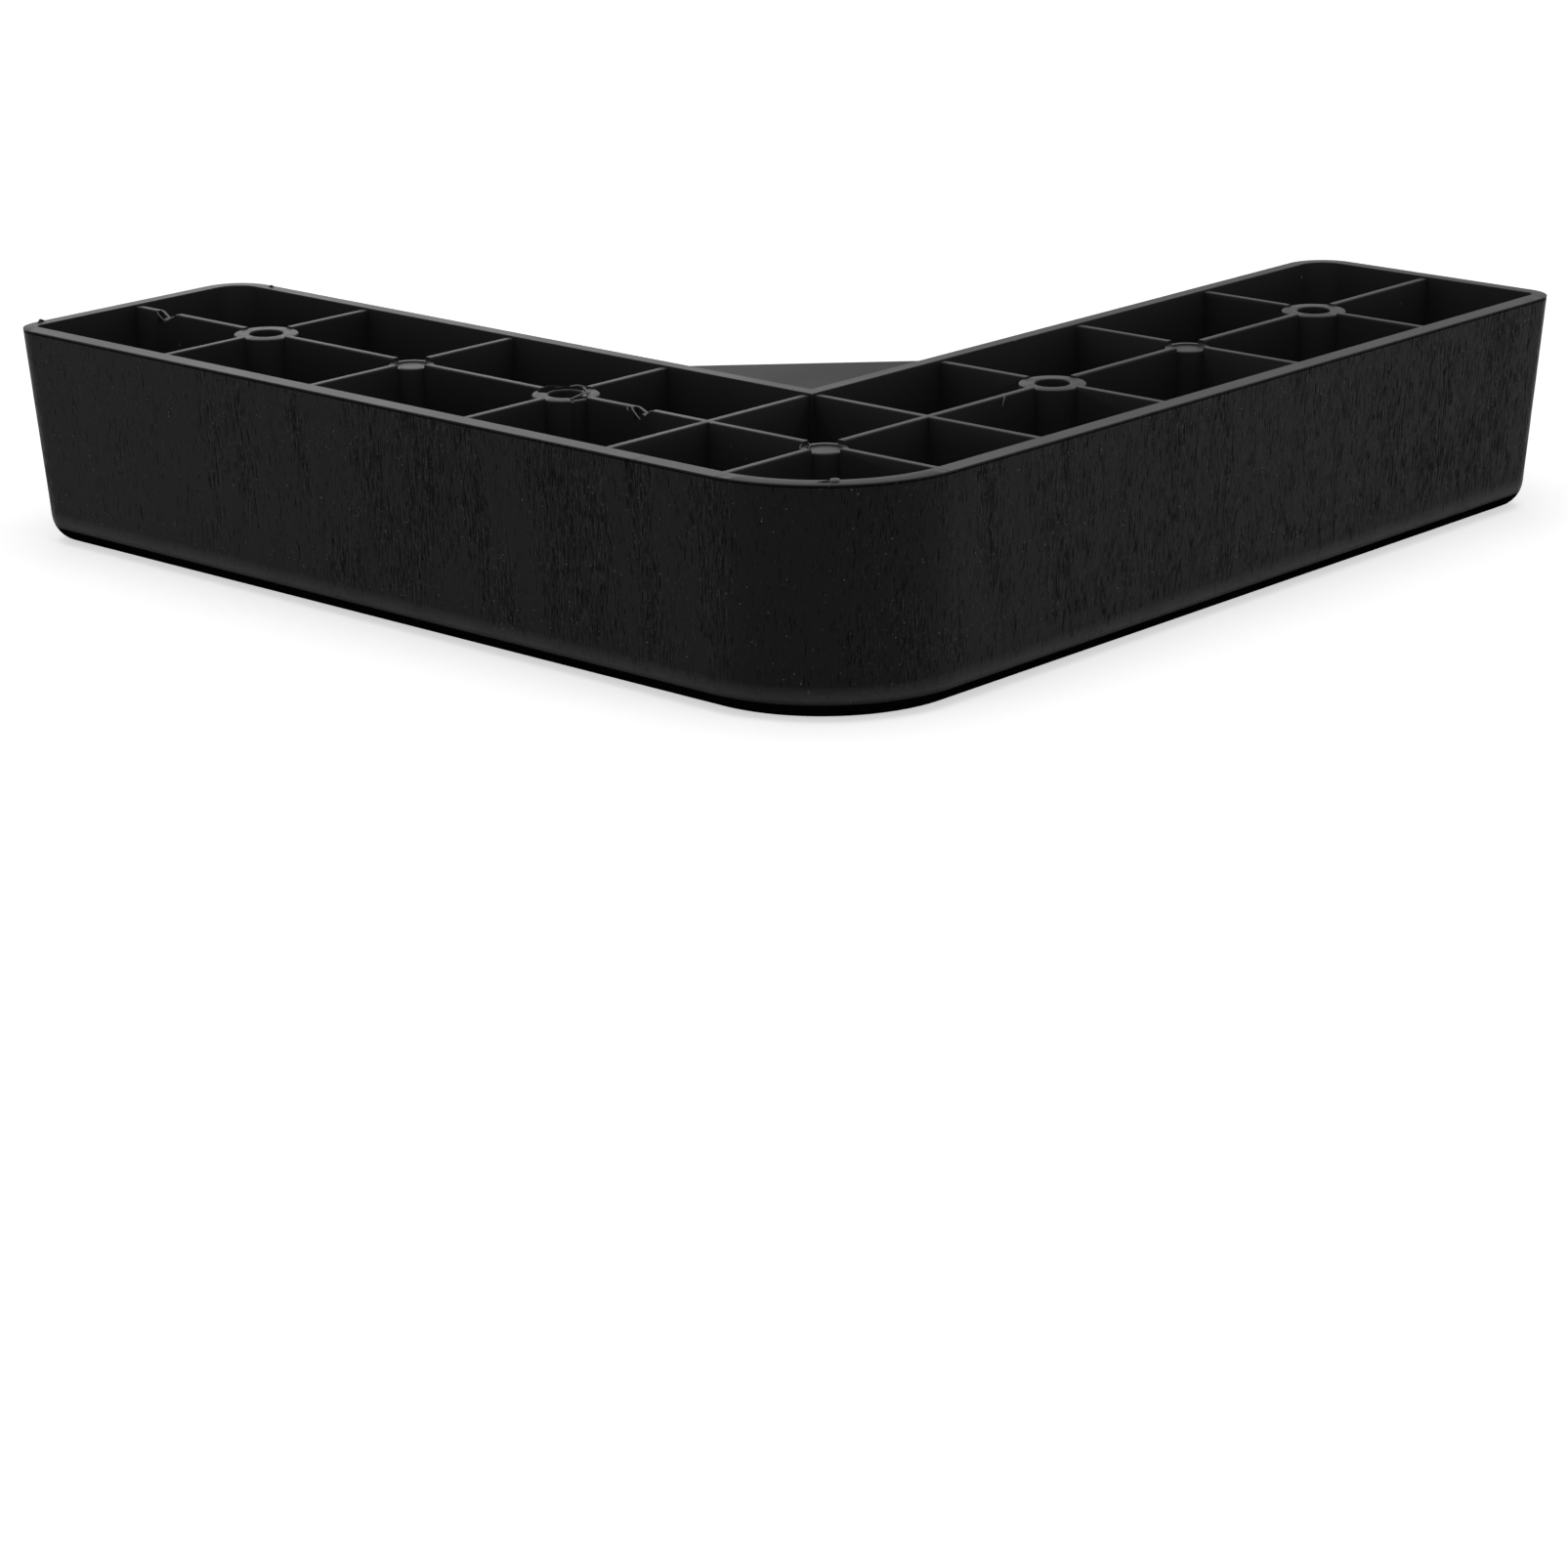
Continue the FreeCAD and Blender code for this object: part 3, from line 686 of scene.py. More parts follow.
def rib_rings(line, start, stop, sizes):
    """Rings of a rib along +Y: a drafted section with rounded top edges, whose ends follow the walls.

    At a height h the ends move inwards by as much as the wall does, start + slope(h), stop - slope(h).
    """
    top = RISER_HEIGHT - sizes.rib_step
    root = sizes.floor_thickness - RIB_ROOT
    half = sizes.rib_thickness / 2
    grown = half + (top - root) * math.tan(sizes.rib_draft)
    edge = sizes.rib_round
    across = half - edge + edge * np.cos(EDGE_TURNS)
    up = top - edge + edge * np.sin(EDGE_TURNS)
    across = np.concatenate([[-grown, grown], across, -across[::-1]])
    up = np.concatenate([[root, root], up, up[::-1]])
    slope = wall_slope(up, sizes)
    rings = [np.stack([line + across, end, up], axis=-1) for end in (stop - slope, start + slope)]
    return np.stack(rings)


def over_diagonal(rings):
    """The same rings on the other arm: x and y change places, and the order turns round."""
    return rings[::-1, :, [1, 0, 2]]


def rib_objects(sizes, materials):
    """The grid of ribs: a long rib and a divider for each arm, and three cross ribs for each arm."""
    outer = sizes.outer_wall / 2
    inner = sizes.arm_width - sizes.thin_wall / 2
    end = ARM_LENGTH - sizes.thin_wall / 2
    middle = rib_line(sizes)
    lines = [(middle, end), (inner, inner)] + [(line, inner) for line in cross_lines(sizes)]
    pieces = []
    for number, (line, stop) in enumerate(lines, start=1):
        rings = rib_rings(line, outer, stop, sizes)
        pieces.append(plain_object(f"rib_along_y_{number}", rings, materials))
        pieces.append(plain_object(f"rib_along_x_{number}", over_diagonal(rings), materials))
    return pieces


def rib_line(sizes):
    """Where the long rib runs: midway between the faces of the outer and inner walls."""
    return (sizes.outer_wall + sizes.arm_width - sizes.thin_wall) / 2


def cross_lines(sizes):
    """Where the three cross ribs of an arm stand, counted back from the arm's end."""
    return [ARM_LENGTH - sizes.rib_pitch * count for count in (1, 2, 3)]


def both_arms(places):
    """The same places on the arm along +Y and on the arm along +X."""
    return list(places) + [(y, x) for x, y in places]


def screw_places(sizes):
    """Plan positions of the ring bosses: at the first and third cross rib of each arm."""
    middle, crosses = rib_line(sizes), cross_lines(sizes)
    return both_arms([(middle, crosses[0]), (middle, crosses[2])])


def solid_places(sizes):
    """Plan positions of the solid bosses: at the second cross rib of each arm, and in the corner."""
    middle, crosses = rib_line(sizes), cross_lines(sizes)
    return both_arms([(middle, crosses[1])]) + [(middle, middle)]


def boss_objects(sizes, materials):
    """Drafted round bosses from the floor to a little below the ribs' level, with rounded top edges.

    Their sides, the first row of faces, are duller than their tops.
    """
    root = sizes.floor_thickness - BOSS_ROOT
    edge = sizes.rib_round
    pieces = []
    for name, places, diameter, step in (
            ("screw_boss", screw_places(sizes), sizes.screw_boss, sizes.screw_step),
            ("solid_boss", solid_places(sizes), sizes.solid_boss, sizes.solid_step)):
        half, top = diameter / 2, RISER_HEIGHT - sizes.rib_step - step
        profile = [(half + (top - root) * math.tan(sizes.rib_draft), root)]
        profile += [(half - edge + edge * math.cos(turn), top - edge + edge * math.sin(turn))
                    for turn in EDGE_TURNS]
        for number, place in enumerate(places, start=1):
            piece = plain_object(f"{name}_{number}", revolved(place, profile, ROUND_SIDES), materials)
            finish = np.full(len(piece.data.polygons), BODY, dtype=np.int32)
            finish[:ROUND_SIDES] = DULL
            piece.data.polygons.foreach_set("material_index", finish)
            pieces.append(piece)
    return pieces


def web_object(sizes, materials):
    """The flat triangular web across the inside of the L, with its long edge a little rounded.

    It is sunk into the inner walls by half their thickness.
    """
    root = sizes.arm_width - sizes.thin_wall / 2
    reach = sizes.arm_width + sizes.web_leg + sizes.thin_wall / 2
    top = RISER_HEIGHT - sizes.rib_step
    edge = sizes.rib_round
    rows = [(0.0, top - sizes.web_thickness), (0.0, top - edge), (edge * 0.3, top - edge * 0.3),
            (edge, top)]
    rings = [
        [(root, root, height), (reach - inset, root, height), (root, reach - inset, height)]
        for inset, height in rows
    ]
    return plain_object("web", np.array(rings), materials, DULL)


def drill_objects(sizes, materials):
    """Screw holes with countersinks and slightly rounded mouths, each with the step for the rib ends."""
    top = RISER_HEIGHT - sizes.rib_step - sizes.screw_step
    flat, reach = top + HAIR, sizes.screw_boss / 2 - sizes.rib_overlap
    hole, head = sizes.screw_hole / 2, sizes.screw_head / 2
    profile = [(head + PAST, -PAST), (head, 0.0), (hole, head - hole), (hole, top - 0.16 * MM),
               (hole + 0.05 * MM, top - 0.05 * MM), (hole + 0.17 * MM, flat),
               (reach, flat), (reach, RISER_HEIGHT + PAST)]
    return [plain_object(f"drill_{number}", revolved(place, profile, ROUND_SIDES), materials)
            for number, place in enumerate(screw_places(sizes), start=1)]


def dish_objects(sizes, materials):
    """Dimples with a sloped foot, each with the step for the rib ends."""
    top = RISER_HEIGHT - sizes.rib_step - sizes.solid_step
    flat, reach = top + HAIR, sizes.solid_boss / 2 + sizes.rib_gap
    half, bottom = sizes.dimple / 2, top - sizes.dimple_depth
    profile = [(half - 0.12 * MM, bottom), (half, bottom + 0.08 * MM), (half + 0.03 * MM, flat),
               (reach, flat), (reach, RISER_HEIGHT + PAST)]
    return [plain_object(f"dish_{number}", revolved(place, profile, DIMPLE_SIDES), materials)
            for number, place in enumerate(solid_places(sizes), start=1)]


def torn_trench(sizes, materials, centre, name, start, stop, past, depth):
    """A ragged trench in the top of a ring boss, between two angles and two radii.

    At each angle the section is a rectangle. The sum of the rough sines moves its inner side by up to
    0.06 mm and its outer side by up to 0.1 mm, and changes its depth by up to 0.3 of it. Towards both
    ends the outer side draws in by 0.5 mm, and the depth falls to 0.3.
    """
    turn = np.linspace(math.radians(start), math.radians(stop), 26)
    rough = sum(share * np.sin(turn * rate + phase) for share, rate, phase in ROUGH_SINES)
    ends = rise_over(np.minimum(turn - turn[0], turn[-1] - turn), 0.25)
    near = sizes.screw_hole / 2 + INNER_LIP + 0.06 * MM * rough
    far = sizes.screw_boss / 2 - OUTER_LIP + past * MM + (0.10 * np.roll(rough, 5) - 0.5 * (1 - ends)) * MM
    fall = depth * MM * (0.3 + 0.7 * ends) * (1 + 0.3 * rough)
    low = RISER_HEIGHT - sizes.rib_step - sizes.screw_step - fall
    high = np.full_like(turn, RISER_HEIGHT + PAST)
    radius = np.stack([near, near, far, far], axis=-1)
    height = np.stack([low, high, high, low], axis=-1)
    flat = np.stack([np.cos(turn), np.sin(turn)], axis=-1)[:, None] * radius[..., None]
    rings = np.concatenate([flat + np.array(centre), height[..., None]], axis=-1)
    return plain_object(name, rings, materials)


def notch_object(sizes, materials, name, through, centre, left, right, depth):
    """A V-shaped nick in the long rib of the arm along +Y, from the rib's outer face inwards.

    The cut is deepest at the centre and rises straight, until it is as shallow as the fade. From there
    it fades out as an exponential, and ends a little over the rib's top.
    """
    top = RISER_HEIGHT - sizes.rib_step
    over, fade = 0.03 * MM, 0.15
    place = np.linspace(-1.25, 1.25, 31)
    fall = 1 - np.abs(place)
    cut = np.where(fall > fade, fall, fade * np.exp((fall - fade) / fade))
    along = (centre + np.where(place < 0, place * left, place * right)) * MM
    up = top + over - cut * (depth * MM + over)
    along = np.concatenate([along, along[[-1, 0]]])
    up = np.concatenate([up, [top + PAST, top + PAST]])
    middle = rib_line(sizes)
    reach = sizes.rib_thickness if through else TEAR_REACH
    rings = [np.stack([np.full_like(along, side), along, up], axis=-1)
             for side in (middle - sizes.rib_thickness, middle + reach)]
    return plain_object(name, np.stack(rings), materials, TORN if through else BODY)


def strand_rings(points, root, tip):
    """Rings of a thin strand: circles round a path, with a radius that changes from root to tip.

    The path runs evenly through the given points, eased three times by the mean of its neighbours.
    """
    points = np.array(points) * MM
    share = np.linspace(0.0, len(points) - 1.0, STRAND_POINTS)
    corners = np.arange(len(points))
    path = np.stack([np.interp(share, corners, points[:, axis]) for axis in range(3)], axis=-1)
    for _ in range(3):
        path[1:-1] = (path[:-2] + 2 * path[1:-1] + path[2:]) / 4
    ahead = np.gradient(path, axis=0)
    ahead = ahead / np.linalg.norm(ahead, axis=1, keepdims=True)
    side = np.cross(ahead, ASKEW)
    side = side / np.linalg.norm(side, axis=1, keepdims=True)
    over = np.cross(ahead, side)
    turn = np.linspace(0.0, 2 * math.pi, STRAND_SIDES, endpoint=False)
    radius = np.linspace(root, tip, len(path))[:, None, None] * MM
    spoke = np.cos(turn)[None, :, None] * side[:, None] + np.sin(turn)[None, :, None] * over[:, None]
    return path[:, None] + radius * spoke


def flash_object(strands, materials):
    """All thin strands of torn and loose flash as one object."""
    points, faces, finish, count = [], [], [], 0
    for path, root, tip, torn in strands:
        ring_points, ring_faces = closed_rings(strand_rings(path, root, tip))
        points.append(ring_points)
        faces += [[index + count for index in face] for face in ring_faces]
        finish += [TORN if torn else BODY] * len(ring_faces)
        count += len(ring_points)
    flash = mesh_object("riser_flash", np.concatenate(points), faces, materials)
    flash.data.polygons.foreach_set("material_index", np.array(finish, dtype=np.int32))
    flash.data.shade_smooth()
    return flash


def combine(piece, tools, operation):
    """Joins or cuts the piece with each tool in turn, bakes the result into its mesh, drops the tools."""
    for tool in tools:
        modifier = piece.modifiers.new(tool.name, "BOOLEAN")
        modifier.operation = operation
        modifier.solver = "MANIFOLD"
        modifier.object = tool
    depsgraph = bpy.context.evaluated_depsgraph_get()
    result = bpy.data.meshes.new_from_object(piece.evaluated_get(depsgraph), preserve_all_data_layers=True,
                                             depsgraph=depsgraph)
    if not result.polygons:
        raise RuntimeError(f"{piece.name} came out empty")
    piece.modifiers.clear()
    old = piece.data
    piece.data = result
    bpy.data.meshes.remove(old)
    for tool in tools:
        mesh = tool.data
        bpy.data.objects.remove(tool)
        bpy.data.meshes.remove(mesh)


def mark_sharp(mesh, limit):
    """Smooth shading, with an edge sharp where its faces turn more than the limit, apart from the grain.

    Each edge's two faces are found by sorting the corners by edge, and the turn is the angle between
    the two face normals. The flat base is also kept apart from its rounded edge.
    """
    mesh.shade_smooth()
    corners = len(mesh.loops)
    edge_of = np.empty(corners, dtype=np.int32)
    mesh.loops.foreach_get("edge_index", edge_of)
    sides = np.empty(len(mesh.polygons), dtype=np.int32)
    mesh.polygons.foreach_get("loop_total", sides)
    face_of = np.repeat(np.arange(len(sides)), sides)
    order = np.argsort(edge_of, kind="stable")
    if corners != 2 * len(mesh.edges):
        raise RuntimeError("the moulding isn't closed")
    pair = face_of[order].reshape(-1, 2)
    normals = np.empty(len(sides) * 3, dtype=np.float32)
    mesh.polygons.foreach_get("normal", normals)
    normals = normals.reshape(-1, 3)
    finish = np.empty(len(sides), dtype=np.int32)
    mesh.polygons.foreach_get("material_index", finish)
    turn = np.einsum("ij,ij->i", normals[pair[:, 0]], normals[pair[:, 1]])
    grained = (finish[pair] == SKIN).all(axis=1)
    base_edge = (finish[pair] == PAINTED_SHADE).any(axis=1) & (finish[pair] == BODY).any(axis=1)
    sharp = ((turn < math.cos(limit)) & ~grained) | base_edge
    attribute = mesh.attributes.get("sharp_edge") or mesh.attributes.new("sharp_edge", "BOOLEAN", "EDGE")
    attribute.data.foreach_set("value", sharp)
    mesh.update()


# Materials

def node(tree, kind, place, **settings):
    """A node of a shader tree, with its own settings and its place in the editor."""
    made = tree.nodes.new(kind)
    made.location = place
    for name, value in settings.items():
        setattr(made, name, value)
    return made


def math_node(tree, operation, place, first, second=None):
    """A math node; each input is a number or a socket."""
    made = node(tree, "ShaderNodeMath", place, operation=operation)
    for socket, value in zip(made.inputs, (first, second)):
        if value is None:
            continue
        if isinstance(value, (int, float)):
            socket.default_value = value
        else:
            tree.links.new(value, socket)
    return made.outputs[0]


def new_group(name, inputs, outputs):
    """An empty shader node group with float or vector sockets, and its input and output nodes."""
    tree = bpy.data.node_groups.new(name, "ShaderNodeTree")
    kinds = {"float": "NodeSocketFloat", "vector": "NodeSocketVector"}
    for label, kind in inputs:
        tree.interface.new_socket(name=label, in_out="INPUT", socket_type=kinds[kind])
    for label, kind in outputs:
        tree.interface.new_socket(name=label, in_out="OUTPUT", socket_type=kinds[kind])
    return tree, node(tree, "NodeGroupInput", (-900, 0)), node(tree, "NodeGroupOutput", (700, 0))


def dust_group():
    """Dust: small round specks, each in a random cell, of which only some carry one.

    The share of cells with a speck rises in soft clusters, with the third power of a slow noise.
    """
    tree, given, result = new_group("Dust specks", [("Vector", "vector"), ("Cells per metre", "float"),
                                                    ("Speck size", "float"), ("Share", "float"),
                                                    ("Clusters per metre", "float")],
                                    [("Mask", "float")])
    clusters = node(tree, "ShaderNodeTexNoise", (-600, -360))
    clusters.inputs["Detail"].default_value = 1.0
    tree.links.new(given.outputs["Vector"], clusters.inputs["Vector"])
    tree.links.new(given.outputs["Clusters per metre"], clusters.inputs["Scale"])
    gathered = math_node(tree, "POWER", (-420, -360), clusters.outputs["Fac"], 3.0)
    share = math_node(tree, "MULTIPLY", (-260, -360), gathered, given.outputs["Share"])
    cells = node(tree, "ShaderNodeTexVoronoi", (-600, 0), voronoi_dimensions="3D", feature="F1")
    tree.links.new(given.outputs["Vector"], cells.inputs["Vector"])
    tree.links.new(given.outputs["Cells per metre"], cells.inputs["Scale"])
    apart = node(tree, "ShaderNodeSeparateColor", (-380, -160))
    tree.links.new(cells.outputs["Color"], apart.inputs["Color"])
    chosen = math_node(tree, "LESS_THAN", (-160, -120), apart.outputs["Red"], share)
    size = math_node(tree, "MULTIPLY", (-160, -280), apart.outputs["Green"], given.outputs["Speck size"])
    inside = math_node(tree, "LESS_THAN", (60, 60), cells.outputs["Distance"], size)
    mask = math_node(tree, "MULTIPLY", (280, 0), inside, chosen)
    bright = math_node(tree, "MULTIPLY", (480, 0), mask, apart.outputs["Blue"])
    tree.links.new(bright, result.inputs["Mask"])
    return tree


def texture_group():
    """Satin: the fine even roughness of a moulded surface, as a height from 0 to 1."""
    tree, given, result = new_group("Satin texture", [("Vector", "vector"), ("Grains per metre", "float")],
                                    [("Height", "float"), ("Cloud", "float")])
    fine = node(tree, "ShaderNodeTexNoise", (-500, 120))
    fine.inputs["Detail"].default_value = 2.0
    tree.links.new(given.outputs["Vector"], fine.inputs["Vector"])
    tree.links.new(given.outputs["Grains per metre"], fine.inputs["Scale"])
    slow = node(tree, "ShaderNodeTexNoise", (-500, -160))
    slow.inputs["Detail"].default_value = 3.0
    slow.inputs["Scale"].default_value = 60.0
    tree.links.new(given.outputs["Vector"], slow.inputs["Vector"])
    tree.links.new(fine.outputs["Fac"], result.inputs["Height"])
    tree.links.new(slow.outputs["Fac"], result.inputs["Cloud"])
    return tree


def streak_group():
    """Streaks: noise drawn out along the height, cut to thin marks above a level.

    The mask is 1 where the noise lies a ninth or more above the level.
    """
    tree, given, result = new_group("Grain streaks", [("Vector", "vector"), ("Marks per metre", "float"),
                                                      ("Stretch", "float"), ("Level", "float")],
                                    [("Mask", "float")])
    apart = node(tree, "ShaderNodeSeparateXYZ", (-700, 0))
    tree.links.new(given.outputs["Vector"], apart.inputs["Vector"])
    squeezed = math_node(tree, "DIVIDE", (-520, -120), apart.outputs["Z"], given.outputs["Stretch"])
    joined = node(tree, "ShaderNodeCombineXYZ", (-340, 0))
    tree.links.new(apart.outputs["X"], joined.inputs["X"])
    tree.links.new(apart.outputs["Y"], joined.inputs["Y"])
    tree.links.new(squeezed, joined.inputs["Z"])
    marks = node(tree, "ShaderNodeTexNoise", (-160, 0))
    marks.inputs["Detail"].default_value = 1.0
    marks.inputs["Distortion"].default_value = 0.35
    tree.links.new(joined.outputs["Vector"], marks.inputs["Vector"])
    tree.links.new(given.outputs["Marks per metre"], marks.inputs["Scale"])
    above = math_node(tree, "SUBTRACT", (60, 80), marks.outputs["Fac"], given.outputs["Level"])
    scaled = math_node(tree, "MULTIPLY", (240, 80), above, 9.0)
    clamped = node(tree, "ShaderNodeClamp", (420, 80))
    tree.links.new(scaled, clamped.inputs["Value"])
    tree.links.new(clamped.outputs["Result"], result.inputs["Mask"])
    return tree


def place_group(tree, group, place, **values):
    """A group node with its own values, reading object coordinates."""
    made = node(tree, "ShaderNodeGroup", place, node_tree=group)
    coordinates = tree.nodes.get("Object place") or node(tree, "ShaderNodeTexCoord", (-1500, 0),
                                                         name="Object place")
    tree.links.new(coordinates.outputs["Object"], made.inputs["Vector"])
    for label, value in values.items():
        made.inputs[label.replace("_", " ")].default_value = value
    return made


def mix_colours(tree, place, share, first, second):
    """A colour mix; share is a socket, first and second are colours or sockets."""
    made = node(tree, "ShaderNodeMix", place, data_type="RGBA")
    tree.links.new(share, made.inputs["Factor"])
    for socket, value in ((made.inputs[6], first), (made.inputs[7], second)):
        if isinstance(value, bpy.types.NodeSocket):
            tree.links.new(value, socket)
        else:
            socket.default_value = value
    return made.outputs[2]


def clouded(tree, place, cloud, colour):
    """The colour with soft clouds, in which it falls to 0.7 of its strength."""
    deeper = tuple(channel * 0.7 for channel in colour[:3]) + (1.0,)
    return mix_colours(tree, place, cloud, deeper, colour)


def multiply_add(tree, place, value, factor, added):
    """A math node that gives value * factor + added, for a socket and two numbers."""
    result = math_node(tree, "MULTIPLY_ADD", place, value, factor)
    result.node.inputs[2].default_value = added
    return result


def bump_height(tree, place, shader, height, strength, distance):
    """A bump that feeds the shader's normal, with its strength and its distance in metres."""
    bump = node(tree, "ShaderNodeBump", place)
    bump.inputs["Strength"].default_value = strength
    bump.inputs["Distance"].default_value = distance
    tree.links.new(height, bump.inputs["Height"])
    tree.links.new(bump.outputs["Normal"], shader.inputs["Normal"])


def new_material(name):
    """A material with nodes, its tree and its shader."""
    material = bpy.data.materials.new(name)
    material.use_nodes = True
    shader = material.node_tree.nodes["Principled BSDF"]
    return material, material.node_tree, shader


def smooth_plastic(name, look, groups, gloss):
    """Plain black plastic with this gloss: satin, with faint flow clouds and a little dust."""
    material, tree, shader = new_material(name)
    shader.inputs["Specular IOR Level"].default_value = gloss
    satin = place_group(tree, groups["satin"], (-900, 100), Grains_per_metre=2600.0)
    dust = place_group(tree, groups["dust"], (-900, -200), Cells_per_metre=420.0, Speck_size=0.10,
                       Share=0.8, Clusters_per_metre=60.0)
    cloudy = clouded(tree, (-500, 200), satin.outputs["Cloud"], look.inner_colour)
    dusty = mix_colours(tree, (-280, 200), dust.outputs["Mask"], cloudy, look.dust_colour)
    tree.links.new(dusty, shader.inputs["Base Color"])
    uneven = multiply_add(tree, (-500, -60), satin.outputs["Cloud"], 0.12, look.roughness - 0.06)
    tree.links.new(uneven, shader.inputs["Roughness"])
    bump_height(tree, (-280, -260), shader, satin.outputs["Height"], 0.25, 0.02 * MM)
    return material


def grained_plastic(look, groups):
    """Black plastic of the outer walls: duller pores and fine marks with painted shade, lips and flecks
    with painted highlights, in a satin skin, and pale specks.

    The mesh carries the large pores, together with the painted shade of the groove and the base edge's
    underside, the lips, how closely the fine marks gather, and the painted sheen band of the base edge.
    """
    material, tree, shader = new_material("grained_black_plastic")
    pore, lip, gather, painted_sheen = (
        node(tree, "ShaderNodeAttribute", (-1500, -300 - 180 * row), attribute_name=name)
        for row, name in enumerate(("pore", "lip", "gather", "painted_sheen")))
    satin = place_group(tree, groups["satin"], (-1100, 300), Grains_per_metre=2600.0)
    marks = place_group(tree, groups["streaks"], (-1100, 100), Marks_per_metre=5200.0, Stretch=12.0)
    flecks = place_group(tree, groups["streaks"], (-1100, -100), Marks_per_metre=5600.0, Stretch=4.0)
    dust = place_group(tree, groups["dust"], (-1100, -300), Cells_per_metre=1700.0, Speck_size=0.22,
                       Share=2.3, Clusters_per_metre=220.0)
    for group, calm, drop in ((marks, 0.64, -0.21), (flecks, 0.70, -0.17)):
        level = multiply_add(tree, (-1300, group.location.y), gather.outputs["Fac"], drop, calm)
        tree.links.new(level, group.inputs["Level"])
    # Painted shade: pores and fine marks take the near-black colour
    painted_shade_mask = math_node(tree, "MAXIMUM", (-860, -60), pore.outputs["Fac"],
                     math_node(tree, "MULTIPLY", (-980, -120), marks.outputs["Mask"], 0.9))
    # Painted highlight: the pores' lips and the fine flecks take the lighter colour
    pale = math_node(tree, "MAXIMUM", (-860, -260), lip.outputs["Fac"],
                     math_node(tree, "MULTIPLY", (-980, -260), flecks.outputs["Mask"], 0.8))
    cloudy = clouded(tree, (-740, 300), satin.outputs["Cloud"], look.colour)
    grained = mix_colours(tree, (-620, 280), painted_shade_mask, cloudy, look.painted_shade_colour)
    lipped = mix_colours(tree, (-500, 260), pale, grained, look.painted_highlight_colour)
    # Painted sheen: a lighter band along the base edge
    polished = mix_colours(tree, (-380, 240), painted_sheen.outputs["Fac"], lipped, look.painted_sheen_colour)
    dusty = mix_colours(tree, (-260, 220), dust.outputs["Mask"], polished, look.dust_colour)
    tree.links.new(dusty, shader.inputs["Base Color"])
    tree.links.new(multiply_add(tree, (-440, -60), painted_shade_mask, 0.5, look.roughness), shader.inputs["Roughness"])
    shader.inputs["Specular IOR Level"].default_value = look.skin_gloss
    lowered = math_node(tree, "SUBTRACT", (-640, -300), satin.outputs["Height"],
                        math_node(tree, "MULTIPLY", (-760, -360), marks.outputs["Mask"], 2.0))
    raised = math_node(tree, "ADD", (-480, -300), lowered,
                       math_node(tree, "ADD", (-640, -420), flecks.outputs["Mask"], dust.outputs["Mask"]))
    bump_height(tree, (-280, -300), shader, raised, 0.8, 0.03 * MM)
    return material


def torn_plastic(look):
    """Pale stretched plastic of torn strands and of the torn sides of cuts."""
    material, _, shader = new_material("torn_black_plastic")
    shader.inputs["Base Color"].default_value = look.torn_colour
    shader.inputs["Roughness"].default_value = 0.6
    shader.inputs["Specular IOR Level"].default_value = look.gloss_level
    return material


def painted_shade_plastic(look):
    """Near-black plastic without gloss, as painted shade on the base's underside and as a painted shadow
    line in the groove below the rim.
    """
    material, _, shader = new_material("painted_shade_black_plastic")
    shader.inputs["Base Color"].default_value = look.painted_shade_colour
    shader.inputs["Roughness"].default_value = 0.9
    shader.inputs["Specular IOR Level"].default_value = 0.0
    return material


def background_share(tree, place):
    """1 for rays from the camera, from gloss and through glass, which are to see the white background."""
    path = node(tree, "ShaderNodeLightPath", place)
    first = math_node(tree, "MAXIMUM", (place[0] + 200, place[1]), path.outputs["Is Camera Ray"],
                      path.outputs["Is Glossy Ray"])
    return math_node(tree, "MAXIMUM", (place[0] + 400, place[1]), first,
                     path.outputs["Is Transmission Ray"])


def plastic_materials(context):
    """The five finishes, in the order of SKIN, BODY, TORN, DULL and PAINTED_SHADE, made once."""
    names = ("grained_black_plastic", "smooth_black_plastic", "torn_black_plastic", "dull_black_plastic",
             "painted_shade_black_plastic")
    if all(name in bpy.data.materials for name in names):
        return [bpy.data.materials[name] for name in names]
    look = context.scene.riser_look
    groups = {"satin": texture_group(), "dust": dust_group(), "streaks": streak_group()}
    return [
        grained_plastic(look, groups),
        smooth_plastic(names[1], look, groups, look.gloss_level),
        torn_plastic(look),
        smooth_plastic(names[3], look, groups, look.dull_gloss),
        painted_shade_plastic(look),
    ]


# The stage

def pale_floor(stage):
    """The floor's pale material, which its emission lifts to white for the camera.

    The lamps help only near the riser, so from 0.35 m to 1.6 m from its middle the emission rises.
    """
    material, tree, shader = new_material("pale_floor")
    shader.inputs["Base Color"].default_value = stage.floor_colour
    shader.inputs["Roughness"].default_value = 0.9
    shader.inputs["Specular IOR Level"].default_value = 0.0
    shader.inputs["Emission Color"].default_value = (1.0, 1.0, 1.0, 1.0)
    middle = node(tree, "ShaderNodeTexCoord", (-900, -600))
    away = node(tree, "ShaderNodeVectorMath", (-700, -600), operation="LENGTH")
    tree.links.new(middle.outputs["Object"], away.inputs["Vector"])
    far = node(tree, "ShaderNodeMapRange", (-500, -600), interpolation_type="SMOOTHSTEP")
    for label, value in (("From Min", 0.35), ("From Max", 1.6), ("To Min", 0.57), ("To Max", 0.86)):
        far.inputs[label].default_value = value
    tree.links.new(away.outputs["Value"], far.inputs["Value"])
    lift = math_node(tree, "MULTIPLY", (-200, -300), background_share(tree, (-700, -300)),
                     far.outputs["Result"])
    tree.links.new(lift, shader.inputs["Emission Strength"])
    return material


